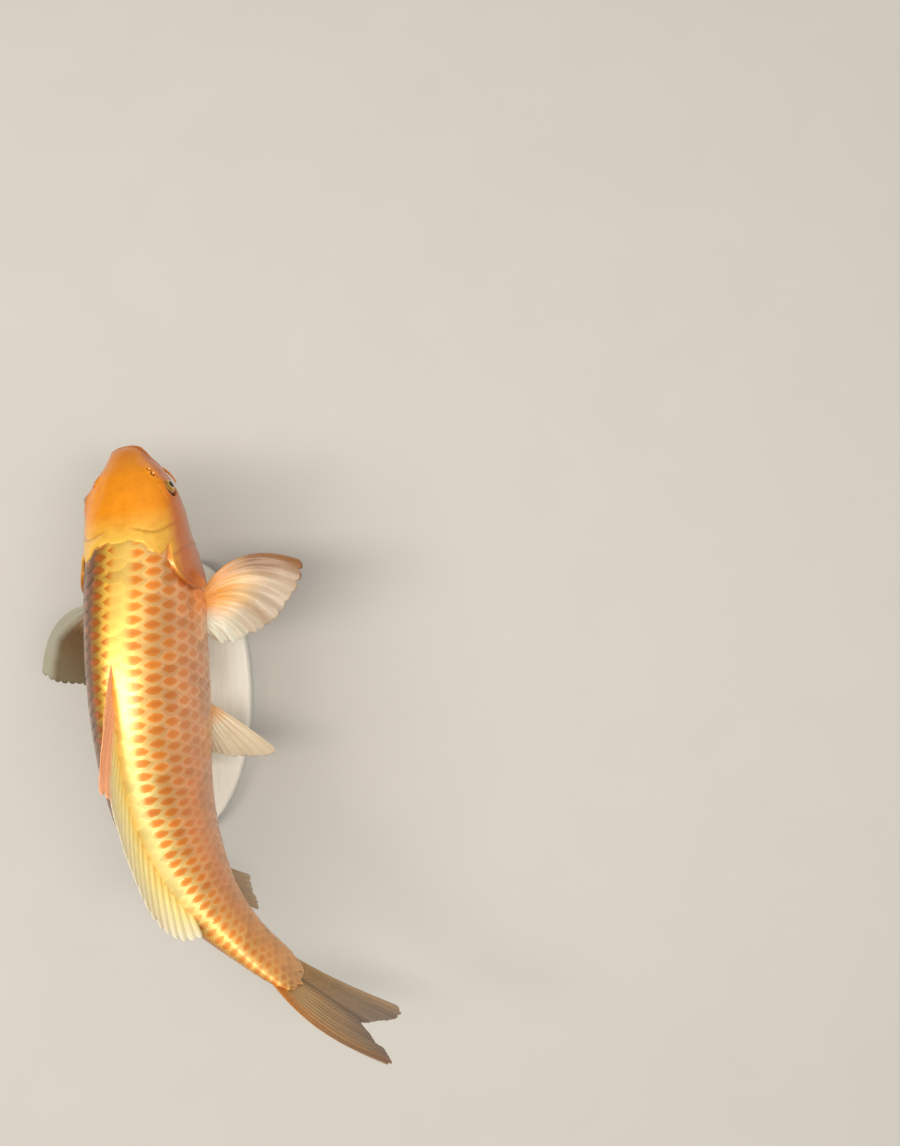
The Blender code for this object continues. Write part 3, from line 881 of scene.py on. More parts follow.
@dataclass(frozen=True)
class BrushedSteel(Finish):
    """Stainless rod brushed round its axis: a soft streak of light over fine rings, drawn coarser to show."""

    name: str = "brushed_stainless_steel"
    colour: str = "#C9C8C6"
    shade: str = "#A9A8A6"

    def inputs(self, add: Adder, read: Numbers) -> Inputs:
        """Feed the shader: fine rings round the rod in its colour, gloss and relief.

        Args:
            add: adds a node.
            read: the piece's numbers, of which there are none; not used.

        Returns:
            The shader's inputs.
        """
        rings = speckle(add, 6.0, 4.0, (0.1, 0.1, 12.0))
        return {
            "Base Color": glaze(add, self.colour, ((rings, None, self.shade),)),
            "Metallic": 1.0,
            "Roughness": add("MapRange", {"Value": rings, "To Min": 0.22, "To Max": 0.38}),
            "Normal": add("Bump", {"Height": rings, "Distance": 0.01 * MM}),
        }


@dataclass(frozen=True)
class StudioPaper(Finish):
    """Matt off-white background paper: even and without gloss, with a barely visible cloudiness."""

    name: str = "matt_studio_paper"
    colour: str = "#BFBDBA"
    shade: str = "#B8B6B3"

    def inputs(self, add: Adder, read: Numbers) -> Inputs:
        """What goes into the shader."""
        cloud = (speckle(add, 60), ((0.3, 0.0), (0.7, 0.25)), self.shade)
        return {"Base Color": glaze(add, self.colour, (cloud,)), "Roughness": 0.9}


# --- skin


@dataclass
class HeadSkin:
    """The head's skin while it is shaped: where each place lies, and what is done to it there, in mm.

    The turn is in degrees from the back, alike on both sides; side is 1 on the right and -1 on the left.
    """

    along: Array
    turn: Array
    side: Array
    height: Array
    radius: Array

    def __post_init__(self) -> None:
        """Start from smooth skin, neither raised nor drawn tailwards nor shaded."""
        self.raised, self.pulled, self.shade = (np.zeros_like(self.along * self.turn) for _ in range(3))

    def around(self, place: Sequence[float]) -> tuple[Array, Array, Array]:
        """Distances tailwards, downwards and straight from a place on the head."""
        ahead, down = self.along - place[0], np.radians(self.turn - place[1]) * self.radius
        return ahead, down, np.hypot(ahead, down)


@dataclass
class HeadRelief:
    """Folds, pits and plates of the head, in millimetres along the spine and degrees from the back.

    The cover's flare is for the right and the left. Lips have a middle, a width and a rise; folds of the
    throat a middle, a width, a depth, and where they begin and end; a pore has a width and a depth.
    """

    body: Body
    skin_step: float = 0.6
    cover_centre: Pair = (74.0, 99.0)
    cover_half: Pair = (20.5, 43.0)
    cover_proud: float = 0.7
    cover_flare: Pair = (3.0, 1.5)
    cover_overlap: float = 1.3
    slit_depth: float = 1.6
    rim_groove: float = 0.35
    seam_depth: float = 0.55
    seam_ridge: float = 0.45
    lower_seam_depth: float = 0.4
    cover_rays: Pair = (34.0, 0.05)
    nape_groove: float = 0.5
    nape_lobe: float = 0.45
    nape_rim: float = 0.12
    crown_hollow: float = 0.5
    temple_hollow: float = 0.35
    eye: Pair = (32.0, 77.0)
    eye_opening: float = 4.8
    eye_rim: float = 0.85
    brow: float = 0.7
    cheek_fold: float = 0.45
    socket_depth: float = 4.6
    nostrils: Table = ((18.4, 50.0, 1.15), (21.4, 53.0, 1.5))
    nostril_rim: float = 0.4
    nostril_depth: float = 1.7
    nostril_flap: Triple = (19.9, 51.4, 1.1)
    mouth_start: Pair = (-5.0, -8.6)
    mouth_corner: Pair = (20.0, -14.8)
    mouth_depth: float = 2.4
    lips: Table = ((2.1, 1.2, 0.9), (-2.0, 1.2, 0.8))
    lip_fold: float = 0.5
    chin_fold: float = 0.4
    throat_folds: Table = ((152, 2.2, 0.6, 24, 32, 82, 72), (180, 2.0, 0.5, 30, 38, 74, 66))
    brow_pores: Table = ((24, 58), (28, 56), (33, 56), (38, 58), (43, 61), (48, 64))
    cheek_pores: Table = ((27, 96), (33, 102), (40, 104), (47, 100))
    pore: Pair = (0.5, 0.4)

    def on_cover(self, along: Numeric, turn: Numeric) -> tuple[Array, Array, Array]:
        """Find places on the gill cover.

        Args:
            along: mm along the spine.
            turn: degrees from the back.

        Returns:
            How far they lie tailwards, down and straight from the cover's middle, 1 at its edge.
        """
        (middle, level), (length, depth) = self.cover_centre, self.cover_half
        x, y = (along - middle) / length, (turn - level) / depth
        return x, y, np.hypot(x, y)

    def scale_line(self, turn: Numeric) -> Array:
        """Find where smooth head skin gives way to scales.

        Args:
            turn: degrees from the back.

        Returns:
            Millimetres along the spine.
        """
        ragged = 0.6 * np.sin(turn * 0.42) + 0.25 * np.sin(turn * 0.97 + 1.3)
        crown = 62.0 + ragged + 10.0 * hump(turn - 44.0, 15.0) - 22.0 * gate(turn, 150.0, 175.0)
        y = np.clip(self.on_cover(0.0, turn)[1], -1.0, 1.0)
        cover = self.cover_centre[0] + self.cover_half[0] * np.sqrt(1.0 - y * y)
        throat = 84.0 * gate(turn, 130.0, 142.0)
        return np.maximum(np.maximum(crown, cover * (np.abs(y) < 1.0)), throat)

    def marks(self, along: Array, turn: Array) -> Attributes:
        """Give the numbers that the markings read; head is 1 on smooth skin and 0 among the scales.

        Args:
            along: distances along the spine.
            turn: turns about it.

        Returns:
            The attributes along, girth, turn and head, each from 0 to 1.
        """
        size = np.abs(turn)
        head = gate(self.scale_line(np.degrees(size)) - along / MM, -2.8, 1.2)
        length = self.body.spine.length
        return {"along": along / length, "girth": size / np.pi, "turn": (turn / np.pi + 1) / 2, "head": head}

    def __call__(self, along: Array, turn: Array, height: Array) -> tuple[Array, Array, Array]:
        """Shape the head.

        Args:
            along: distance along the spine, mm.
            turn: degrees round, positive to the right.
            height: distance above the spine, mm.

        Returns:
            How far the skin stands out, how far it is drawn tailwards, in mm, and how deep the shade painted
            into its colour is.
        """
        radius = self.body.girth(np.maximum(along, 0.5) * MM) / MM / np.pi
        skin = HeadSkin(along, np.abs(turn), np.where(turn >= 0, 1, -1), height, radius)
        steps = (self._cover, self._seams, self._crown, self._eye, self._nostrils, self._mouth, self._throat)
        for shape in steps:
            shape(skin)
        return skin.raised, skin.pulled, np.clip(skin.shade, 0.0, 1.0)

    def _cover(self, skin: HeadSkin) -> None:
        """Shape the gill cover: a plate that rises to a thin free edge, with a slit behind it.

        Args:
            skin: the skin, which is changed.
        """
        x, _, ring = self.on_cover(skin.along, skin.turn)
        flare = np.where(skin.side > 0, *self.cover_flare)
        inside = gate(ring, 1.025, 0.975)
        free = gate(x, -0.15, 0.35)
        plate = (self.cover_proud * gate(x, -0.6, -0.1) + flare * gate(x, -1.0, 1.0)) * inside
        skin.raised += plate * mix(gate(x, -1.0, -0.2), 1.0, free)
        skin.raised -= self.slit_depth * hump(ring - 1.045, 0.045) * free
        skin.shade += 0.9 * hump(ring - 1.035, 0.05) * free
        skin.pulled += self.cover_overlap * gate(ring, 0.84, 0.98) * inside * free
        skin.raised -= self.rim_groove * hump(ring - 0.90, 0.022) * free
        skin.shade += 0.25 * hump(ring - 0.90, 0.03) * free

    def _seams(self, skin: HeadSkin) -> None:
        """Shape the seams between the plates of the gill cover, and its faint rays.

        Args:
            skin: the skin, which is changed.
        """
        x, y, ring = self.on_cover(skin.along, skin.turn)
        bend = x + 0.30 - 0.34 * y * y
        seam = hump(bend, 0.05) * gate(np.abs(y), 1.02, 0.82)
        skin.raised -= self.seam_depth * seam
        skin.raised += self.seam_ridge * hump(bend + 0.16, 0.12) * gate(np.abs(y), 1.0, 0.7)
        skin.shade += 0.35 * seam
        lower = hump(y - 0.42 - 0.22 * x, 0.035) * gate(x, -0.25, -0.10) * gate(ring, 0.97, 0.87)
        skin.raised -= self.lower_seam_depth * lower
        skin.shade += 0.25 * lower
        count, rise = self.cover_rays
        rays = np.sin(np.arctan2(y + 0.75, x + 0.35) * count) * gate(ring, 0.9, 0.7)
        skin.raised += rise * rays * gate(x, -0.75, 0.05)

    def _crown(self, skin: HeadSkin) -> None:
        """Shape the groove behind the skull, the lobes and rim of the nape, and the hollows of the crown.

        Args:
            skin: the skin, which is changed.
        """
        turn, along = skin.turn, skin.along
        skull = along - (53.0 + 5.0 * hump(turn - 40.0, 22.0))
        edge = along - self.scale_line(turn)
        nape = gate(turn, 74.0, 64.0)
        beside = nape * gate(turn, 9.0, 21.0)
        skin.raised -= self.nape_groove * hump(skull, 1.1) * beside
        skin.shade += 0.4 * hump(skull, 1.0) * beside
        skin.raised += self.nape_lobe * hump(skull - 6.0, 4.5) * hump(turn - 42.0, 20.0)
        skin.raised -= self.crown_hollow * hump(turn, 5.0) * gate(along, 30.0, 38.0) * gate(along, 58.0, 50.0)
        skin.raised -= self.temple_hollow * hump(turn - 30.0, 9.0) * hump(along - 28.0, 9.0)
        skin.raised += self.nape_rim * hump(edge + 2.4, 1.6) * nape
        skin.raised -= self.skin_step * gate(edge, -1.2, 1.4)
        skin.shade += 0.3 * hump(edge - 0.6, 1.1) * nape

    def _eye(self, skin: HeadSkin) -> None:
        """Shape the brow, the eye socket and the fold under the eye.

        Args:
            skin: the skin, which is changed.
        """
        _, down, reach = skin.around(self.eye)
        skin.raised += self.eye_rim * hump(reach - self.eye_opening - 1.5, 1.1)
        skin.raised += self.brow * hump(reach - 8.0, 2.4) * gate(down, 0.0, -6.0)
        skin.raised -= self.cheek_fold * hump(reach - 10.2, 0.8) * gate(down, -1.5, 3.5)
        skin.raised -= self.socket_depth * gate(reach, self.eye_opening + 0.7, self.eye_opening - 0.8)
        skin.shade += 0.9 * gate(reach, self.eye_opening + 1.0, self.eye_opening - 0.2)
        skin.shade += 0.2 * hump(reach - 10.2, 0.8) * gate(down, 0.0, 5.0)

    def _nostrils(self, skin: HeadSkin) -> None:
        """Shape the two openings of each nostril, and the flap that stands between them.

        Args:
            skin: the skin, which is changed.
        """
        for *place, opening in self.nostrils:
            reach = skin.around(place)[2]
            skin.raised += self.nostril_rim * hump(reach - opening - 0.7, 0.6)
            skin.raised -= self.nostril_depth * gate(reach, opening + 0.35, opening - 0.45)
            skin.shade += 0.95 * gate(reach, opening + 0.3, opening - 0.3)
        *place, rise = self.nostril_flap
        ahead, down, _ = skin.around(place)
        skin.raised += rise * hump(ahead, 0.45) * hump(down, 1.5)

    def _mouth(self, skin: HeadSkin) -> None:
        """Shape the lips round their slit, the fold above the upper lip and the fold of the chin.

        Args:
            skin: the skin, which is changed.
        """
        along = skin.along
        (start, level), (corner, corner_level) = self.mouth_start, self.mouth_corner
        above = skin.height - level - (corner_level - level) / (corner - start) * (along - start)
        slit = gate(along, 19.0, 16.0)
        skin.raised -= self.mouth_depth * hump(above, 0.65) * slit
        skin.shade += 0.95 * hump(above, 0.55) * slit
        for middle, width, rise in self.lips:
            skin.raised += rise * hump(above - middle, width) * gate(along, 21.0, 14.0)
        fold = above - 4.3 - 0.12 * along
        skin.raised -= self.lip_fold * hump(fold, 0.55) * gate(along, 19.0, 15.0)
        skin.shade += 0.35 * hump(fold, 0.5) * gate(along, 19.0, 15.0)
        chin = hump(above + 4.6, 0.6) * gate(along, 24.0, 19.0) * gate(along, 2.0, 5.0)
        skin.raised -= self.chin_fold * chin

    def _throat(self, skin: HeadSkin) -> None:
        """Shape the folds of the throat, and the pores of the sense line over the eye and along the cheek.

        Args:
            skin: the skin, which is changed.
        """
        for middle, width, depth, *ends in self.throat_folds:
            length = gate(skin.along, *ends[:2]) * gate(skin.along, *ends[2:])
            skin.raised -= depth * hump(skin.turn - middle, width) * length
        width, depth = self.pore
        for place in self.brow_pores + self.cheek_pores:
            dot = hump(skin.around(place)[2], width)
            skin.raised -= depth * dot
            skin.shade += 0.5 * dot


@dataclass
class Skin:
    """The one skin over all the flesh.

    Runs of rings are given in mm along the spine, by where they start, their spacing and their number.
    Crowds are places where the points round a ring lie closer: by how much, and middle and width in degrees.
    """

    body: Body
    columns: int = 272
    nose_rings: int = 5
    nose_reach: float = 0.9
    nose_level: float = -9.6 * MM
    runs: tuple[tuple[float, float, int], ...] = (
        (0.0, 1.2 / 7, 7),
        (1.2, 2.8 / 6, 6),
        (4.0, 0.7, 9),
        (10.0, 0.62, 142),
        (98.0, 1.4, 38),
        (150.0, 228.0 / 105, 106),
    )
    tail_rings: Table = ((378.6, 0.6), (378.8, 0.0))
    crowds: Table = ((1.5, 78, 14), (1.6, 104, 12), (0.5, 50, 10))
    crowd_steps: int = 721
    halfway: float = 100 * MM
    head_nodes: tuple[str, ...] = ("head", "lower_jaw", "operculum_right", "operculum_left")
    trunk_nodes: tuple[str, ...] = ("fore_trunk", "mid_trunk", "rear_trunk", "tail_peduncle")

    def __post_init__(self) -> None:
        """Set out the rings, close together over the head, and the relief that they carry."""
        nose = np.arange(self.nose_rings) / self.nose_rings
        rings = np.concatenate([start + spacing * np.arange(count) for start, spacing, count in self.runs])
        places, shares = np.array(self.tail_rings).T
        self.along = np.concatenate((self.nose_reach * (np.sin(nose * np.pi / 2) - 1), rings, places)) * MM
        self.shrink = np.concatenate((nose, np.ones(len(rings)), shares))
        self.rows = len(self.along) - 1
        self.relief = HeadRelief(self.body)
        part = np.linspace(0.0, 1.0, self.crowd_steps)
        density = 1.0 + sum(more * hump(part * 180 - middle, width) for more, middle, width in self.crowds)
        total = np.concatenate(([0.0], np.cumsum((density[1:] + density[:-1]) / 2)))
        self.crowd = (total / total[-1], part * np.pi)

    def place(self, across: Array, along: Array) -> tuple[Array, Attributes]:
        """Lay the skin over the flesh, closed at the nose and at the tail.

        Args:
            across: parts of the way round, from the belly up the left side and down the right.
            along: parts of the rings.

        Returns:
            Points, and the attributes that the finish reads.
        """
        part = 2.0 * across - 1.0
        turn = np.sign(part) * np.interp(np.abs(part), *self.crowd)
        row = np.rint(along * self.rows).astype(int)
        station = np.maximum(self.along[row], 0.0)
        shrink = self.shrink[row]
        fore = station < self.halfway
        out, up = self.body.offsets(station, turn)
        out, up = out * shrink, mix(np.where(fore, self.nose_level, 0.0), up, shrink)
        points = self.body.spine.place(self.along[row], out, up)
        normals = surface_normals(points)
        _, tail, _, _ = self.body.spine.frames(station)
        centre = self.body.spine.place(station, 0.0, 0.0)
        normals *= np.sign(np.sum(normals * (points - centre - tail * 2 * MM), -1, keepdims=True))
        facing = np.where(fore[..., None], -tail, tail)
        normals = unit(np.where((shrink < 1.0)[..., None], facing, normals))
        raised, pulled, shade = self.relief(self.along[row] / MM, np.degrees(turn), up / MM)
        raised = raised * MM + self.body.swelling(station, turn)
        points = points + normals * raised[..., None] + tail * (pulled * MM)[..., None]
        # the shade is painted into the skin's colour
        return points, self.relief.marks(station, turn) | {"pit": shade}

    def build(self, finish: Material) -> Object:
        """The skin as one closed piece, standing for every node of flesh."""
        mesh = woven("skin", self.columns, self.rows, self.place)
        return dress(mesh, finish, self.head_nodes + self.trunk_nodes)


# --- scales


@dataclass
class ScaleCoat:
    """Overlapping scales in rows along the body, each a closed plate that follows the skin.

    Shares are parts of the pitch or of a row's spacing. The tail's rim has its place and its bulge at the
    sides in mm, and the bulge's width in degrees; the gap at the nape is in mm. The wobbles are how much
    scales differ in length, skew, place, tilt and the curl of their edge.
    """

    body: Body
    relief: HeadRelief
    rows_each_side: int = 13
    row_pitch: float = 13.2 * MM
    row_narrowing: float = 0.17 * MM
    shoulder: float = 130 * MM
    crowding_power: float = 0.6
    first: float = 64 * MM
    last: float = 384 * MM
    pitches: Pair = (8.0 * MM, 6.2 * MM)
    narrowing: Pair = (160 * MM, 340 * MM)
    half_width_share: float = 0.80
    free_share: float = 1.45
    root_share: float = 0.62
    lift: float = 0.78 * MM
    root_sink: float = 0.30 * MM
    dome: float = 0.08 * MM
    rolled_edge: float = 0.05 * MM
    thickness: float = 0.14 * MM
    tuck: float = 1.3 * MM
    room_share: float = 0.3
    nape_gap: float = 3.2
    tail_rim: Triple = (374.0, 8.0, 48.0)
    reach: Pair = (45 * MM, 383 * MM)
    cells: int = 8
    cuts: tuple[float, ...] = (64 * MM, 104 * MM, 146 * MM, 190 * MM, 240 * MM, 300 * MM, 390 * MM)
    wobbles: tuple[float, ...] = (0.02, 0.03, 0.25 * MM, 0.05 * MM, 0.04 * MM)
    sharp_from: float = 50.0
    first_seed: int = 20

    def __post_init__(self) -> None:
        """Set out the half-columns from the nape to the tail."""
        places = [self.first]
        while places[-1] < self.last:
            places.append(places[-1] + self.pitch(places[-1]) / 2)
        self.places = np.array(places)
        self.template, self.points, self.corners, self.upper = self._template()

    def pitch(self, along: Numeric) -> Numeric:
        """Distance from one scale to the next in the same row."""
        return mix(*self.pitches, gate(along, *self.narrowing))

    def crowding(self, along: Numeric) -> Numeric:
        """How much narrower the rows lie here than at the shoulder."""
        return (self.body.girth(along) / self.body.girth(self.shoulder)) ** self.crowding_power

    def row_arc(self, row: Numeric, along: Numeric) -> Numeric:
        """The way round from the back to a row."""
        spread = row * (self.row_pitch - self.row_narrowing * np.abs(row))
        return spread * self.crowding(along)

    def _template(self) -> tuple[Mesh, Array, Array, Array]:
        """Make one round plate, square cells drawn out to a disc and closed underneath.

        Returns:
            The mesh, its points, the point at each corner of a face, and whether that face is an upper one.
        """
        plate = bmesh.new()
        plate.loops.layers.uv.new(BAKE_MAP)
        bmesh.ops.create_grid(plate, x_segments=self.cells, y_segments=self.cells, size=1.0)
        for point in plate.verts:
            x, y = point.co.x, point.co.y
            point.co.x = x * math.sqrt(1.0 - y * y / 2.0)
            point.co.y = y * math.sqrt(1.0 - x * x / 2.0)
        rim = [edge for edge in plate.edges if edge.is_boundary]
        grown = bmesh.ops.extrude_edge_only(plate, edges=rim)["geom"]
        lower = [part for part in grown if isinstance(part, bmesh.types.BMVert)]
        bmesh.ops.translate(plate, vec=(0, 0, -1), verts=lower)
        bmesh.ops.edgeloop_fill(plate, edges=[edge for edge in plate.edges if edge.is_boundary])
        bmesh.ops.recalc_face_normals(plate, faces=plate.faces)
        mesh = poured(plate, "scale_template")
        points = points_of(mesh)
        corners = np.array([corner.vertex_index for corner in mesh.loops])
        tops = [points[list(face.vertices), 2].min() > -0.5 for face in mesh.polygons]
        return mesh, points, corners, np.repeat(tops, [face.loop_total for face in mesh.polygons])

    def fits(self, row: int, along: float) -> bool:
        """Tell whether a scale has its place here.

        Args:
            row: its row, negative on the left.
            along: the place of its free edge.

        Returns:
            Whether it lies clear of the belly's middle, the head's skin and the rim of the tail.
        """
        arc = abs(self.row_arc(row, along))
        if self.body.girth(along) - arc < self.room_share * self.row_pitch * self.crowding(along):
            return False
        turn = math.degrees(self.body.turn_at(along, max(arc, 1e-6)))
        rim, bulge, width = self.tail_rim
        behind_head = along / MM >= self.relief.scale_line(turn) + self.nape_gap
        return bool(behind_head and along <= (rim + bulge * hump(turn - 90, width)) * MM)

    def lattice(self) -> Array:
        """Set the scales out, every other one of each row's half-columns.

        Returns:
            Row, half-column and place of the free edge of every scale.
        """
        rows = range(-self.rows_each_side, self.rows_each_side + 1)
        found = [(row, i, along) for i, along in enumerate(self.places) for row in rows if not (i + row) % 2]
        return np.array([scale for scale in found if self.fits(scale[0], scale[2])])

    def shape(self, scales: Array, chance: np.random.Generator) -> tuple[Array, Attributes]:
        """Lay every scale on the skin, its root sunk and its free edge lifted.

        Args:
            scales: row, half-column and place of each.
            chance: the source of their small differences.

        Returns:
            Points of every scale, and the attributes that the finish reads.
        """
        a, b, z = self.points.T
        row, _, apex = scales.T[:, :, None]
        chances = chance.normal(0.0, 1.0, (len(self.wobbles), len(scales), 1))
        longer, skew, shift, tilt, curl = (size * share for size, share in zip(self.wobbles, chances))
        pitch = self.pitch(apex)
        free = self.free_share * pitch * (1 + longer)
        tailwards = np.where(b > 0, b * free, b * self.root_share * pitch)
        along = np.clip(apex + shift - free + tailwards + skew * a * pitch, *self.reach)
        spacing = (self.row_pitch - 2 * self.row_narrowing * np.abs(row)) * self.crowding(along)
        girth = self.body.girth(along) * 0.999
        arc = np.clip(self.row_arc(row, along) - a * spacing * self.half_width_share, -girth, girth)
        turn = self.body.turn_at(along, np.where(np.abs(arc) < 1e-7, 1e-7, arc))
        rise = 0.35 * gate(b, -1.05, 1.0) + 0.65 * (b + 1.0) / 2.0
        height = -self.root_sink + (self.lift + self.root_sink) * rise
        radial = np.hypot(a, np.maximum(b, 0.0))
        height = height + self.dome * (1.0 - radial**2) - self.rolled_edge * gate(radial, 0.85, 1.0)
        height = height + tilt * a + curl * np.maximum(b, 0.0)
        before_nape = self.relief.scale_line(np.degrees(np.abs(turn))) - along / MM
        height = height - self.tuck * gate(before_nape, -0.5, 2.5) + self.body.swelling(along, turn)
        height = (height + self.thickness * z)[..., None]
        points = self.body.surface(along, turn, -self.body.coat_depth)
        points = points + self.body.normals(along, turn) * height
        own = {"aside": a, "reach": b, "tone": chance.random((len(scales), 1))}
        own = {name: np.broadcast_to(number, along.shape) for name, number in own.items()}
        return points, self.relief.marks(along, turn) | own

    def layout(self, scales: Array) -> Array:
        """Give each scale a patch at its root's place on the unrolled skin.

        Args:
            scales: row, half-column and place of each.

        Returns:
            Places on the map for baking, one for each corner of every scale's faces.
        """
        a, b, z = self.points[self.corners].T
        columns = 2 * self.rows_each_side + 1
        first = scales[:, 1].min()
        height = scales[:, 1].max() - first + 2
        across = np.where(self.upper, -0.05 + 0.41 * a, 0.40 + 0.02 * a - 0.05 * z)
        u = (scales[:, 0:1] + self.rows_each_side + 0.5 + across) / columns
        v = (scales[:, 1:2] - first + 1 + 0.92 * b) / height
        return np.stack((u, v), -1)

    def build(self, finish: Material) -> list[Object]:
        """Make the coat, in a few pieces along the body.

        Args:
            finish: the scales' material.

        Returns:
            The pieces.
        """
        scales = self.lattice()
        pieces = []
        for index, (start, end) in enumerate(zip(self.cuts, self.cuts[1:])):
            some = scales[(scales[:, 2] >= start) & (scales[:, 2] < end)]
            shape = bmesh.new()
            shape.loops.layers.uv.new(BAKE_MAP)
            for _ in some:
                shape.from_mesh(self.template)
            mesh = poured(shape, f"scales_{index + 1}")
            points, values = self.shape(some, np.random.default_rng(self.first_seed + index))
            mesh.vertices.foreach_set("co", points.astype(np.float32).ravel())
            set_attributes(mesh, values)
            mesh.uv_layers[BAKE_MAP].data.foreach_set("uv", self.layout(some).astype(np.float32).ravel())
            pieces.append(dress(mesh, finish, ()))
            mesh.set_sharp_from_angle(angle=math.radians(self.sharp_from))
        bpy.data.meshes.remove(self.template)
        return pieces


# --- fins


@dataclass
class Fin:
    """A closed sheet with raised, branching rays; each kind says where its rays run.

    Tables named across run from the first ray to the last and those named out from root to edge, 0 to 1.
    """

    body: Body
    name: str
    nodes: tuple[str, ...]
    rays: int
    slot: str
    notch: float = 1.6 * MM
    pleat: float = 0.30 * MM
    wave: float = 0.8 * MM
    waves: float = 1.5
    gather: float = 0.0
    gathers: float = 7.0
    membrane: float = 0.34 * MM
    ray_root: float = 1.5 * MM
    ray_tip: float = 0.42 * MM
    cells_per_ray: int = 8
    cells_out: int = 44
    seed: int = 1
    root_sink: float = 5 * MM

    def sheet(self, across: Array, out: Array) -> Array:
        """Points of the middle of the fin."""
        raise NotImplementedError

    def length(self, across: Array) -> Array:
        """Rough length of each ray, to size the notches of the edge."""
        raise NotImplementedError

    def ray_profile(self, across: Array, out: Array) -> Array:
        """Find the rays, each of which branches twice.

        Args:
            across: from the first ray to the last.
            out: from root to edge.

        Returns:
            1 on a ray's crest and 0 on the membrane.
        """
        place = across * self.rays
        offset = place - np.floor(place) - 0.5
        first = 0.25 * gate(out, 0.38, 0.63)
        second = 0.11 * gate(out, 0.68, 0.90)
        nearest = np.abs(np.abs(np.abs(offset) - first) - second)
        return hump(nearest, mix(0.30, 0.11, gate(out, 0.0, 0.7)))

    def place(self, across: Array, out: Array) -> tuple[Array, Attributes]:
        """Ripple the sheet and notch its edge.

        Args:
            across: from the first ray to the last.
            out: from root to edge.

        Returns:
            Points, and the attributes that the finish reads.
        """
        chance = np.random.default_rng(self.seed)
        depth = chance.uniform(0.5, 1.5, self.rays + 2)
        cell = np.clip(np.rint(across * self.rays), 0, self.rays + 1).astype(int)
        between = 1.0 - np.abs(np.sin(np.pi * self.rays * across))
        ragged = np.interp(across, np.linspace(0, 1, 9), chance.uniform(-0.6, 0.6, 9)) * MM
        cut = (self.notch * depth[cell] * between**1.6 + ragged) / np.maximum(self.length(across), 8 * MM)
        inner = out * (1.0 - cut * smooth(out))
        points = self.sheet(across, inner)
        folds = self.pleat * np.cos(2 * np.pi * self.rays * across) * gate(out, 0.0, 0.5)
        long_phase, short_phase, gather_phase = chance.uniform(0, 2 * np.pi, 3)
        turns = 2 * np.pi * across
        swell = np.sin(self.waves * turns + long_phase)
        swell = swell + 0.5 * np.sin(2.3 * self.waves * turns - 0.8 * np.pi * out + short_phase)
        bunched = np.sin(self.gathers * turns + 1.5 * np.sin(9.0 * across) + gather_phase)
        bunched = bunched * gate(across, 0.2, 0.6) * gate(out, 0.45, 1.0)
        offset = folds + self.wave * swell * out**2 + self.gather * bunched
        values = {"out": inner, "across": across, "ray": self.ray_profile(across, out)}
        return points + surface_normals(points) * offset[..., None], values

    def build(self, finish: Material) -> Object:
        """Make the fin, thick along its rays and thin between them.

        Args:
            finish: its material.

        Returns:
            The fin as a closed piece.
        """
        mesh = woven(self.name, self.rays * self.cells_per_ray, self.cells_out, self.place)
        piece = dress(mesh, finish, self.nodes)
        out, ray = (np.array([mark.value for mark in mesh.attributes[name].data]) for name in ("out", "ray"))
        crest = mix(self.ray_root, self.ray_tip, smooth(out * 1.15) ** 0.7)
        thick = np.maximum(self.membrane * mix(1.6, 0.8, out), crest * ray)
        group = piece.vertex_groups.new(name="thick")
        for index, weight in enumerate((thick / self.ray_root).clip(0.02, 1.0).tolist()):
            group.add([index], weight, "REPLACE")
        solid = piece.modifiers.new("Solidify", "SOLIDIFY")
        solid.thickness = self.ray_root
        solid.offset = 0.0
        solid.vertex_group = group.name
        solid.thickness_vertex_group = 0.0
        return piece


@dataclass
class DorsalFin(Fin):
    """The fin of the back: a tall front lobe and a long low edge, laid back and to the left.

    Lengths are in millimetres and leans in degrees, at parts of the way from the first ray to the last.
    """

    ends: Pair = (128 * MM, 296 * MM)
    parts: tuple[float, ...] = (0.0, 0.05, 0.1, 0.15, 0.2, 0.3, 0.5, 0.65, 0.8, 0.9, 1.0)
    lengths: tuple[float, ...] = (42, 61, 68, 64, 57, 52, 48, 48, 41, 32, 18)
    leans: tuple[float, ...] = (-4, -2, 0, -2.5, -4, -1, 4, 12, 16, 14, 0)
    lay: Pair = (68.0, 62.0)
    lean_growth: Pair = (0.55, 0.90)

    def length(self, across: Array) -> Array:
        """Ray lengths from the front to the rear."""
        return eased(np.array(self.parts), np.array(self.lengths) * MM, across)

    def sheet(self, across: Array, out: Array) -> Array:
        """Run the rays back from the ridge of the back.

        Args:
            across: from the front ray to the rear.
            out: from root to edge.

        Returns:
            Points of the middle of the fin.
        """
        along = mix(*self.ends, across)
        lay = np.radians(mix(*self.lay, across))
        lean = np.radians(eased(np.array(self.parts), np.array(self.leans), across))
        reach = self.length(across) * out
        back = np.sin(lay) * reach
        crest = self.body.profile(along)[0]
        slope = (self.body.profile(along + MM)[0] - crest) / MM
        rise = np.cos(lay) * reach + back * slope - self.root_sink * (1 - out)
        left = np.sin(lean) * reach * mix(*self.lean_growth, out)
        return self.body.spine.place(along + back, -left, crest + rise)


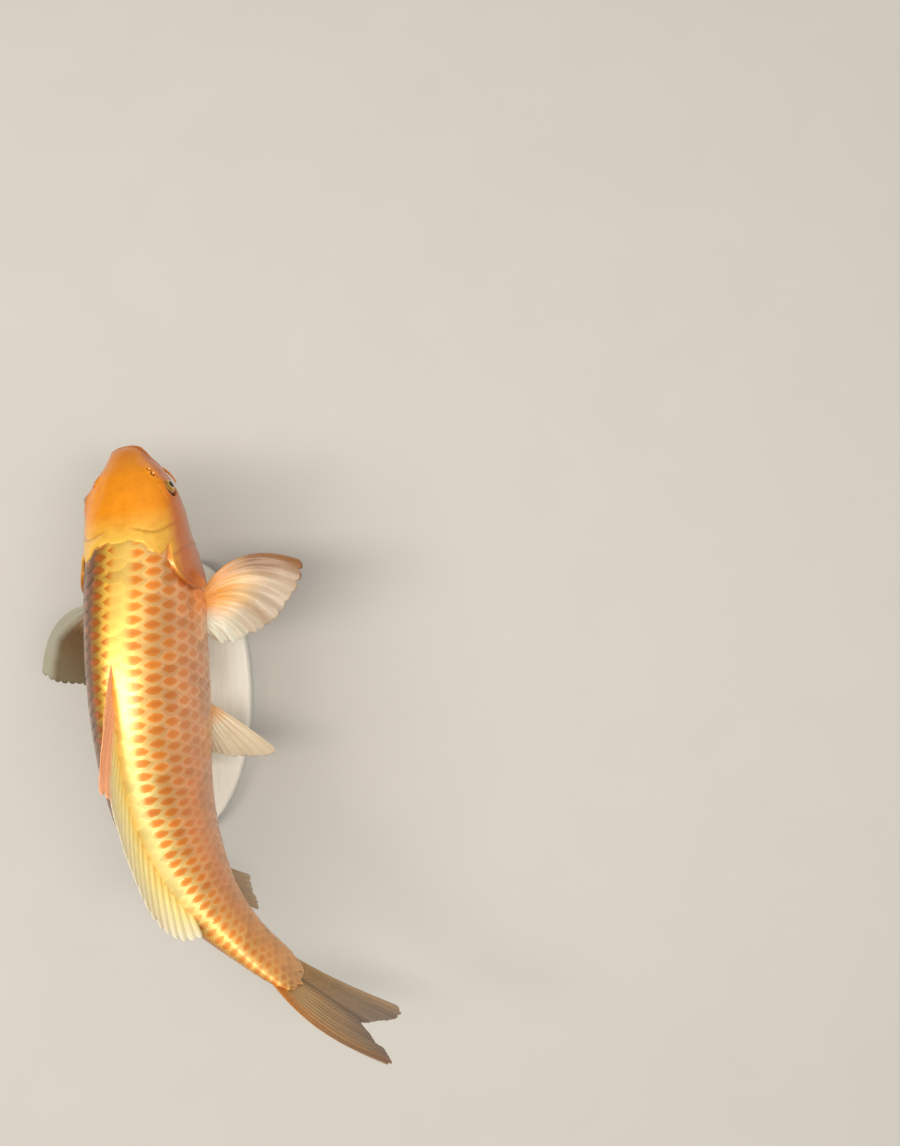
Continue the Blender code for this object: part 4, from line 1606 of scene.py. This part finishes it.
@dataclass
class AnalFin(Fin):
    """The short fin under the start of the tail."""

    ends: Pair = (275.5 * MM, 303 * MM)
    lengths: Pair = (41.5 * MM, 29 * MM)
    lay: Pair = (54.5, 72.0)
    curl: float = 3 * MM

    def length(self, across: Array) -> Array:
        """Ray lengths from the front to the rear."""
        return mix(*self.lengths, across)

    def sheet(self, across: Array, out: Array) -> Array:
        """Run the rays down and back from the belly.

        Args:
            across: from the front ray to the rear.
            out: from root to edge.

        Returns:
            Points of the middle of the fin.
        """
        along = mix(*self.ends, across)
        lay = np.radians(mix(*self.lay, across))
        reach = self.length(across) * out
        up = self.body.profile(along)[2] - np.cos(lay) * reach + self.root_sink * (1 - out)
        return self.body.spine.place(along + np.sin(lay) * reach, self.curl * out**2, up)


@dataclass
class CaudalLobe(Fin):
    """One lobe of the tail fin, above or below the fork."""

    upper: bool = True
    root: float = 354 * MM
    root_half: float = 18.5 * MM
    overlap: float = 0.05
    fork: float = 424 * MM
    fork_power: float = 0.9
    tip: float = 450 * MM
    tip_rounding: float = 5 * MM
    tip_gap: float = 0.2 * MM
    spread: float = 46 * MM
    arch: float = 4 * MM
    curl: float = 12 * MM
    belly: float = -5.5 * MM

    def length(self, across: Array) -> Array:
        """Ray lengths from the fork to the outer edge."""
        return self.end(across) - self.root

    def end(self, across: Array) -> Array:
        """How far along the spine each ray reaches."""
        reach = mix(self.fork, self.tip, np.sin(np.pi / 2 * across) ** self.fork_power)
        return reach - self.tip_rounding * gate(across, 0.85, 1.0)

    def sheet(self, across: Array, out: Array) -> Array:
        """Run the rays tailwards from the end of the body, curled to the right.

        Args:
            across: from the ray at the fork to the outer one.
            out: from root to edge.

        Returns:
            Points of the middle of the lobe.
        """
        side = 1.0 if self.upper else -1.0
        base = self.root_half * mix(-self.overlap, 1.0, across)
        up = mix(base, self.tip_gap + self.spread * across, out) + self.arch * across * out * (1 - out)
        curl = across * (self.curl * out**2 + self.belly * np.sin(np.pi * out))
        return self.body.spine.place(mix(self.root, self.end(across), out), curl, side * up)


@dataclass
class PairedFin(Fin):
    """A pectoral or pelvic fin; pairs are for the leading and the trailing ray, in degrees and metres.

    A fold is a crease of the sheet: its place and width across the rays, and its height.
    """

    side: Side = Side.RIGHT
    along: float = 104 * MM
    turn: float = 126.0
    width: float = 10 * MM
    sweep: Pair = (-17.0, 58.0)
    lengths: Pair = (79 * MM, 20 * MM)
    droop: Pair = (12.0, 25.0)
    bow: float = 17 * MM
    cup: float = 3 * MM
    fullness: float = 1.3
    tip_rounding: float = 4 * MM
    tip_width: float = 0.15
    fold: Triple | None = None
    fold_drift: float = 0.12

    def length(self, across: Array) -> Array:
        """Ray lengths across the fan, drawn in a little at the leading tip."""
        rounding = self.tip_rounding * np.clip(1 - across / self.tip_width, 0.0, 1.0) ** 2
        return mix(*self.lengths, 1 - (1 - across) ** self.fullness) - rounding

    def sheet(self, across: Array, out: Array) -> Array:
        """Fan the rays out from the flank.

        Args:
            across: from the leading ray to the trailing one.
            out: from root to edge.

        Returns:
            Points of the middle of the fan.
        """
        sign = self.side.value
        _, tail, right, up = self.body.spine.frames(self.along)
        turn = sign * np.full_like(across, math.radians(self.turn))
        root = self.body.surface(self.along + self.width * across, turn, -self.root_sink)
        sweep, fall = (np.radians(mix(*angles, across))[..., None] for angles in (self.sweep, self.droop))
        aim = (right * sign * np.cos(fall) - up * np.sin(fall)) * np.cos(sweep) + tail * np.sin(sweep)
        forwards = right * sign * np.sin(sweep) - tail * np.cos(sweep)
        bulge = forwards * (self.bow * (1 - across))[..., None] + up * self.cup
        arch = (4 * out * (1 - out))[..., None]
        points = root + aim * (self.length(across) * out)[..., None] + bulge * arch
        if self.fold:
            place, width, height = self.fold
            line = across - place - self.fold_drift * out
            points = points + up * (height * hump(line, width) * gate(out, 0.0, 0.625))[..., None]
        return points


# --- eyes, feelers, stand


@dataclass
class Eye:
    """An eyeball in its socket, its axis square to the side of the head."""

    body: Body
    side: Side
    radius: float = 7.5 * MM
    depth: float = 5.6 * MM
    along: float = 32 * MM
    turn: float = 77.0
    cornea: float = 0.5 * MM
    cornea_angle: float = 30.0
    segments: tuple[int, int] = (64, 48)

    def build(self, finish: Material) -> Object:
        """Make the eye as a closed ball whose cornea stands slightly proud.

        Args:
            finish: its material.

        Returns:
            The piece.
        """
        turn = self.side.value * math.radians(self.turn)
        centre = Vector(self.body.surface(self.along, turn, -self.depth))
        shape = bmesh.new()
        columns, rows = self.segments
        bmesh.ops.create_uvsphere(shape, u_segments=columns, v_segments=rows, radius=self.radius)
        polar = np.zeros(len(shape.verts))
        for index, point in enumerate(shape.verts):
            angle = math.acos(max(-1.0, min(1.0, point.co.z / self.radius)))
            polar[index] = angle / math.pi
            rise = float(gate(angle, math.radians(self.cornea_angle), 0.0)) * self.cornea
            point.co *= 1.0 + rise / self.radius
        axis = Vector(self.body.normals(self.along, turn))
        turned = Vector((0, 0, 1)).rotation_difference(axis).to_matrix().to_4x4()
        bmesh.ops.transform(shape, matrix=Matrix.Translation(centre) @ turned, verts=shape.verts)
        mesh = poured(shape, f"eye_{self.side.word}_ball")
        set_attributes(mesh, {"polar": polar})
        return dress(mesh, finish, (f"eye_{self.side.word}",))


@dataclass
class Barbel:
    """A soft tapered feeler of the mouth, bent by steps outwards, tailwards and down, all in mm.

    Its skin takes the colour of one place on the cheek, given along the fish, round it and by its turn.
    """

    body: Body
    side: Side
    place_word: str
    along: float
    turn: float
    steps: Table
    radii: Pair = (1.35 * MM, 0.45 * MM)
    sink: float = 1.6 * MM
    tip: float = 0.07
    rings: Pair = (60.0, 0.03)
    cheek: Triple = (0.02, 0.3, 0.6)
    shade: float = 0.15
    cells: tuple[int, int] = (16, 36)

    def path(self, part: Array) -> Array:
        """Bend the feeler's middle through its steps.

        Args:
            part: parts of its length.

        Returns:
            Points of the middle.
        """
        root = self.along * MM
        out, up = self.body.offsets(root, math.radians(self.turn), -self.sink)
        aside, ahead, down = np.array(((0.0, 0.0, 0.0), *self.steps)).T * MM
        corners = self.body.spine.place(root + ahead, self.side.value * (out + aside), up - down)
        rest = 1 - part
        return np.stack((rest**3, 3 * part * rest**2, 3 * part**2 * rest, part**3), -1) @ corners

    def place(self, across: Array, along: Array) -> tuple[Array, Attributes]:
        """Wrap the feeler in skin, round at both ends.

        Args:
            across: parts of the way round.
            along: parts of its length.

        Returns:
            Points, and the attributes that the finish reads.
        """
        middle = self.path(along)
        tangent = unit(np.gradient(middle, axis=0))
        aside = unit(np.cross(tangent, np.array((0.0, 0.0, 1.0))))
        up = np.cross(aside, tangent)
        angle = (2 * np.pi * across)[..., None]
        past_tip = np.clip(along - 1 + self.tip, 0, 1) / self.tip
        rounded = np.sqrt(np.clip(1 - past_tip**2, 0, 1)) * (along > 0)
        count, rise = self.rings
        radius = mix(*self.radii, along**0.8) * rounded * (1.0 + rise * np.sin(along * count))
        points = middle + (aside * np.cos(angle) + up * np.sin(angle)) * radius[..., None]
        names = ("along", "girth", "turn", "head")
        values = {name: np.full_like(across, value) for name, value in zip(names, (*self.cheek, 1.0))}
        # painted shade, darker towards the root of the feeler
        return points, values | {"pit": self.shade * (1 - along)}

    def build(self, finish: Material) -> Object:
        """The feeler as a closed tube."""
        node = f"barbel_{self.side.word}_{self.place_word}"
        return dress(woven(f"{node}_feeler", *self.cells, self.place), finish, (node,))


FEELERS = (  # word, millimetres along, turn in degrees, and the steps that bend it
    ("front", 8.0, 92.0, ((2, 0.5, 2), (3.5, 3, 5), (3.5, 6, 7.5))),
    ("rear", 16.0, 112.0, ((3, 1, 3), (6, 5, 8), (6.5, 11, 12.5))),
)


@dataclass
class Drum:
    """A round or oval upright block with eased edges; size holds its half width and half length."""

    name: str
    foot: Triple
    top: float
    size: Pair
    bevel: float
    sides: int = 64
    bevel_segments: int = 5

    def build(self) -> Mesh:
        """Turn the block and ease its edges.

        Returns:
            Its mesh.
        """
        shape = bmesh.new()
        foot = Vector(self.foot)
        height = self.top - foot.z
        bmesh.ops.create_cone(shape, cap_ends=True, segments=self.sides, radius1=1, radius2=1, depth=1)
        bmesh.ops.scale(shape, vec=(*self.size, height), verts=shape.verts)
        bmesh.ops.translate(shape, vec=foot + Vector((0, 0, height / 2)), verts=shape.verts)
        ends = [edge for edge in shape.edges if abs(edge.verts[0].co.z - edge.verts[1].co.z) < 0.01 * MM]
        bmesh.ops.bevel(
            shape,
            geom=ends,
            offset=self.bevel,
            segments=self.bevel_segments,
            profile=0.5,
            affect="EDGES",
            material=-1,
        )
        bmesh.ops.recalc_face_normals(shape, faces=shape.faces)
        return poured(shape, self.name)


@dataclass
class Stand:
    """An oval lacquered foot and two upright steel rods with small collars."""

    body: Body
    half: Pair = (44 * MM, 98 * MM)
    thickness: float = 12 * MM
    foot_sides: int = 160
    foot_bevel: float = 2.5 * MM
    rod_radius: float = 4 * MM
    rod_sink: float = 8 * MM
    rod_bevel: float = 0.5 * MM
    collar_radius: float = 7.5 * MM
    collar_height: float = 3 * MM
    collar_sink: float = 0.5 * MM
    collar_bevel: float = 0.8 * MM
    rods: tuple[tuple[str, float], ...] = (("front", 112 * MM), ("rear", 214 * MM))
    sharp_from: float = 35.0

    def build(self, lacquer: Material, steel: Material) -> list[Object]:
        """Make the foot, the rods and their collars.

        Args:
            lacquer: the foot's material.
            steel: the rods' and collars' material.

        Returns:
            The pieces.
        """
        deck = self.thickness
        base = Drum("stand_base_oval", (0, 0, 0), deck, self.half, self.foot_bevel, self.foot_sides)
        pieces = [dress(base.build(), lacquer, ("stand_base",))]
        rod_size, collar_size = (self.rod_radius,) * 2, (self.collar_radius,) * 2
        for word, along in self.rods:
            x, y, level = self.body.spine.place(along, 0.0, 0.0)
            top = level + self.body.profile(along)[2] + self.rod_sink
            collar_top = deck + self.collar_height
            foot, seat = (x, y, deck - self.rod_sink), (x, y, deck - self.collar_sink)
            rod = Drum(f"stand_rod_{word}_polished", foot, top, rod_size, self.rod_bevel)
            collar = Drum(f"stand_collar_{word}", seat, collar_top, collar_size, self.collar_bevel)
            for drum, nodes in ((rod, (f"stand_rod_{word}",)), (collar, ())):
                pieces.append(dress(drum.build(), steel, nodes))
        for piece in pieces:
            piece.data.set_sharp_from_angle(angle=math.radians(self.sharp_from))
        return pieces


# --- studio


@dataclass
class Studio:
    """A pale floor, a long soft lamp, soft air and a camera looking straight down, the snout at the top."""

    camera_place: Triple = (-0.1875, -0.0892, 1.005)
    camera_turn: Triple = (0.0, 0.0, math.pi)
    lens: float = 43.3
    sensor: float = 36.0
    nearest: float = 10 * MM
    floor_size: float = 6.0
    paper: StudioPaper = StudioPaper()
    lamp_place: Triple = (0.30, 0.0, 1.85)
    lamp_aim: Triple = (0.0, 0.0, 0.12)
    lamp_size: Pair = (0.42, 3.2)
    lamp_watts: float = 46.0
    lamp_colour: str = "#FFF8EA"
    sky: Stops = ((0.0, "#6A6660"), (0.35, "#A49F97"), (0.8, "#EAE8E4"), (1.0, "#F6F5F2"))
    sky_slant: Triple = (-0.35, 0.0, 1.0)
    sky_strength: float = 0.7

    def build(self) -> None:
        """Set the stage."""
        shape = bmesh.new()
        bmesh.ops.create_grid(shape, x_segments=1, y_segments=1, size=self.floor_size / 2)
        floor = staged(poured(shape, "studio_floor"))
        floor.data.materials.append(self.paper.build())
        self._hang_lamp()
        self._light_air()
        lens = bpy.data.cameras.new("camera")
        lens.lens = self.lens
        lens.sensor_width = self.sensor
        lens.clip_start = self.nearest
        camera = staged(lens)
        camera.location = self.camera_place
        camera.rotation_euler = self.camera_turn
        bpy.context.scene.camera = camera
        bpy.context.scene.view_settings.view_transform = "Standard"

    def _hang_lamp(self) -> None:
        """Hang the softbox over the fish, a little to its left, and aim it."""
        light = bpy.data.lights.new("long_overhead_softbox", "AREA")
        light.shape = "RECTANGLE"
        light.size, light.size_y = self.lamp_size
        light.energy = self.lamp_watts
        light.color = linear(self.lamp_colour)[:3]
        holder = staged(light)
        holder.location = self.lamp_place
        holder.rotation_euler = (Vector(self.lamp_aim) - holder.location).to_track_quat("-Z", "Y").to_euler()

    def _light_air(self) -> None:
        """Even light, brighter overhead than at the sides and on the fish's right than on its left."""
        world = bpy.data.worlds.new("studio_air")
        bpy.context.scene.world = world
        world.use_nodes = True
        add = partial(add_node, world.node_tree)
        slope = {0: add("TexCoord", output="Generated"), 1: self.sky_slant}
        slanted = add("VectorMath", slope, "Value", operation="DOT_PRODUCT")
        tint = add("ValToRGB", {"Fac": slanted}, stops=self.sky)
        feed(world.node_tree.nodes["Background"], {"Color": tint, "Strength": self.sky_strength})


# --- the fish


def tissues() -> dict[str, Material]:
    """Make the tissues of the fins.

    Returns:
        A material under each tissue's tone.
    """
    rootward: Stops = ((0.25, 1.0), (0.6, 0.3))
    tipward: Stops = ((0.25, 0.1), (0.6, 1.0))
    salmon = Band("#FFAE80", ((0.18, 1.0), (0.26, 0.0)))
    # the dark band along the fork of the upper tail lobe is painted shade of the fold between the lobes
    umber_fork = Band("#6A4626", ((0.0, 0.7), (0.22, 0.0)), rootward)
    amber_edge = Band("#C07A30", ((0.66, 0.0), (0.88, 1.0)), rootward)
    # the dark band along the fork of the lower tail lobe is painted shade of the fold between the lobes
    dusky_fork = Band("#5A422C", ((0.0, 0.8), (0.2, 0.0)))
    buff_edge = Band("#B89870", ((0.8, 0.0), (0.98, 0.8)))
    brown_lead = Band("#7E542C", ((0.07, 0.95), (0.18, 0.0)), tipward)
    cream_trail = Band("#DEDAC8", ((0.46, 0.0), (0.78, 0.95)))
    grey_lead = Band("#9C9A8A", ((0.08, 0.95), (0.17, 0.0)))
    # the olive trailing band of the left pectoral is painted shade
    olive_trail = Band("#4E482E", ((0.6, 0.0), (0.9, 0.8)))
    tones = {
        "salmon": ("#FFCE5C", "#FFEDA6", "#E4DCC8", "#FFD880", (0.12, 0.5, 0.98), (salmon,)),
        "tan": ("#E0AC5E", "#BE9A6A", "#86766C", "#94703E", (0.06, 0.35, 0.97), (umber_fork, amber_edge)),
        "olive": ("#D8A85C", "#B09066", "#8A7C72", "#8A683C", (0.06, 0.35, 0.97), (dusky_fork, buff_edge)),
        "amber": ("#C8904C", "#A88660", "#B4A088", "#86663C", (0.1, 0.5, 1.0)),
        "cream": ("#FFA63C", "#E6BC86", "#A89C8E", "#CEA878", (0.28, 0.5, 0.74), (brown_lead, cream_trail)),
        # painted shade: the left pectoral's tissue is a darker, olive copy of the right one's
        "umber": ("#CCA880", "#5E4222", "#6A6046", "#5A4428", (0.2, 0.5, 0.95), (grey_lead, olive_trail)),
        "pale": ("#F0B070", "#DFD0B4", "#C4B8A4", "#C0A882", (0.15, 0.4, 0.95)),
    }
    return {tone: RayedMembrane(f"{tone}_rayed_membrane", *looks).build() for tone, looks in tones.items()}


def median_fins(body: Body) -> list[tuple[str, Fin]]:
    """Set out the fins of the middle line.

    Args:
        body: the body they grow on.

    Returns:
        The fins, each with its tissue's tone.
    """
    lobe = {"rays": 10, "slot": "tail_membrane", "cells_out": 64, "ray_root": 2.0 * MM}
    lower = {"upper": False, "curl": 2 * MM, "belly": -2 * MM}
    dorsal = {"rays": 21, "slot": "dorsal_membrane", "notch": 3.6 * MM, "ray_root": 1.8 * MM}
    return [
        ("salmon", DorsalFin(body, "dorsal_fin_rays", ("dorsal_fin",), seed=3, **dorsal)),
        ("amber", AnalFin(body, "anal_fin_rays", ("anal_fin",), 7, "tail_membrane", cells_out=40, seed=4)),
        ("tan", CaudalLobe(body, "tail_lobe_upper", ("caudal_fin_upper",), seed=5, **lobe)),
        ("olive", CaudalLobe(body, "tail_lobe_lower", ("caudal_fin_lower",), seed=6, **lobe, **lower)),
    ]


def paired_fins(body: Body) -> list[tuple[str, Fin]]:
    """Set out the fins of the flanks.

    Args:
        body: the body they grow on.

    Returns:
        The fins, each with its tissue's tone.
    """
    pectoral = {"rays": 15, "cells_out": 56}
    pelvic = {"rays": 9, "cells_out": 48, "along": 167 * MM, "turn": 150.0}
    pelvic |= {"width": 11 * MM, "bow": 1.8 * MM, "cup": 2 * MM}
    right_pectoral = {"wave": 1.2 * MM, "waves": 2.2, "gather": 1.3 * MM, "pleat": 0.12 * MM}
    right_pectoral |= {"ray_root": 0.95 * MM, "fold": (0.28, 0.05, 2.4 * MM)}
    left_pectoral = {"wave": 1.0 * MM, "waves": 1.7, "gather": 1.0 * MM, "pleat": 0.1 * MM, "notch": 1.0 * MM}
    left_pectoral |= {"ray_root": 0.9 * MM, "along": 103 * MM, "width": 13 * MM, "bow": 21 * MM}
    left_pectoral |= {"sweep": (29.0, 66.0), "lengths": (87 * MM, 43.5 * MM), "droop": (10.0, 35.0)}
    right_pelvic = {"gather": 0.5 * MM, "pleat": 0.15 * MM, "ray_root": 1.0 * MM}
    right_pelvic |= {"sweep": (39.5, 84.0), "lengths": (65 * MM, 26 * MM), "droop": (20.0, 35.0)}
    left_pelvic = {"sweep": (46.0, 86.0), "lengths": (58 * MM, 26 * MM), "droop": (32.0, 45.0)}
    kinds = (
        ("cream", "pectoral", Side.RIGHT, pectoral | right_pectoral),
        ("umber", "pectoral", Side.LEFT, pectoral | left_pectoral),
        ("pale", "pelvic", Side.RIGHT, pelvic | right_pelvic),
        ("pale", "pelvic", Side.LEFT, pelvic | left_pelvic),
    )
    fins = []
    for seed, (tone, kind, side, shape) in enumerate(kinds, 7):
        own = {"slot": "paired_fin_membrane", "seed": seed, "side": side, **shape}
        fins.append((tone, PairedFin(body, f"{kind}_rays_{side.word}", (f"{kind}_fin_{side.word}",), **own)))
    return fins


def main() -> None:
    """Build the fish, its stand and the studio."""
    logging.basicConfig(level=logging.INFO, format="%(message)s")
    body = Body(Spine())
    skin = Skin(body)
    skin_finish, eye_finish, tissue = WetSkin().build(), CarpEye().build(), tissues()
    made = [skin.build(skin_finish), *ScaleCoat(body, skin.relief).build(GoldScale().build())]
    made += [fin.build(tissue[tone]) for tone, fin in (*median_fins(body), *paired_fins(body))]
    for side in Side:
        made.append(Eye(body, side).build(eye_finish))
        made += [Barbel(body, side, *own).build(skin_finish) for own in FEELERS]
    made += Stand(body).build(LacqueredWood().build(), BrushedSteel().build())
    for piece in made:
        LOG.info("%s: %d faces", piece.name, len(piece.data.polygons))
    Studio().build()


if __name__ == "__main__":
    main()
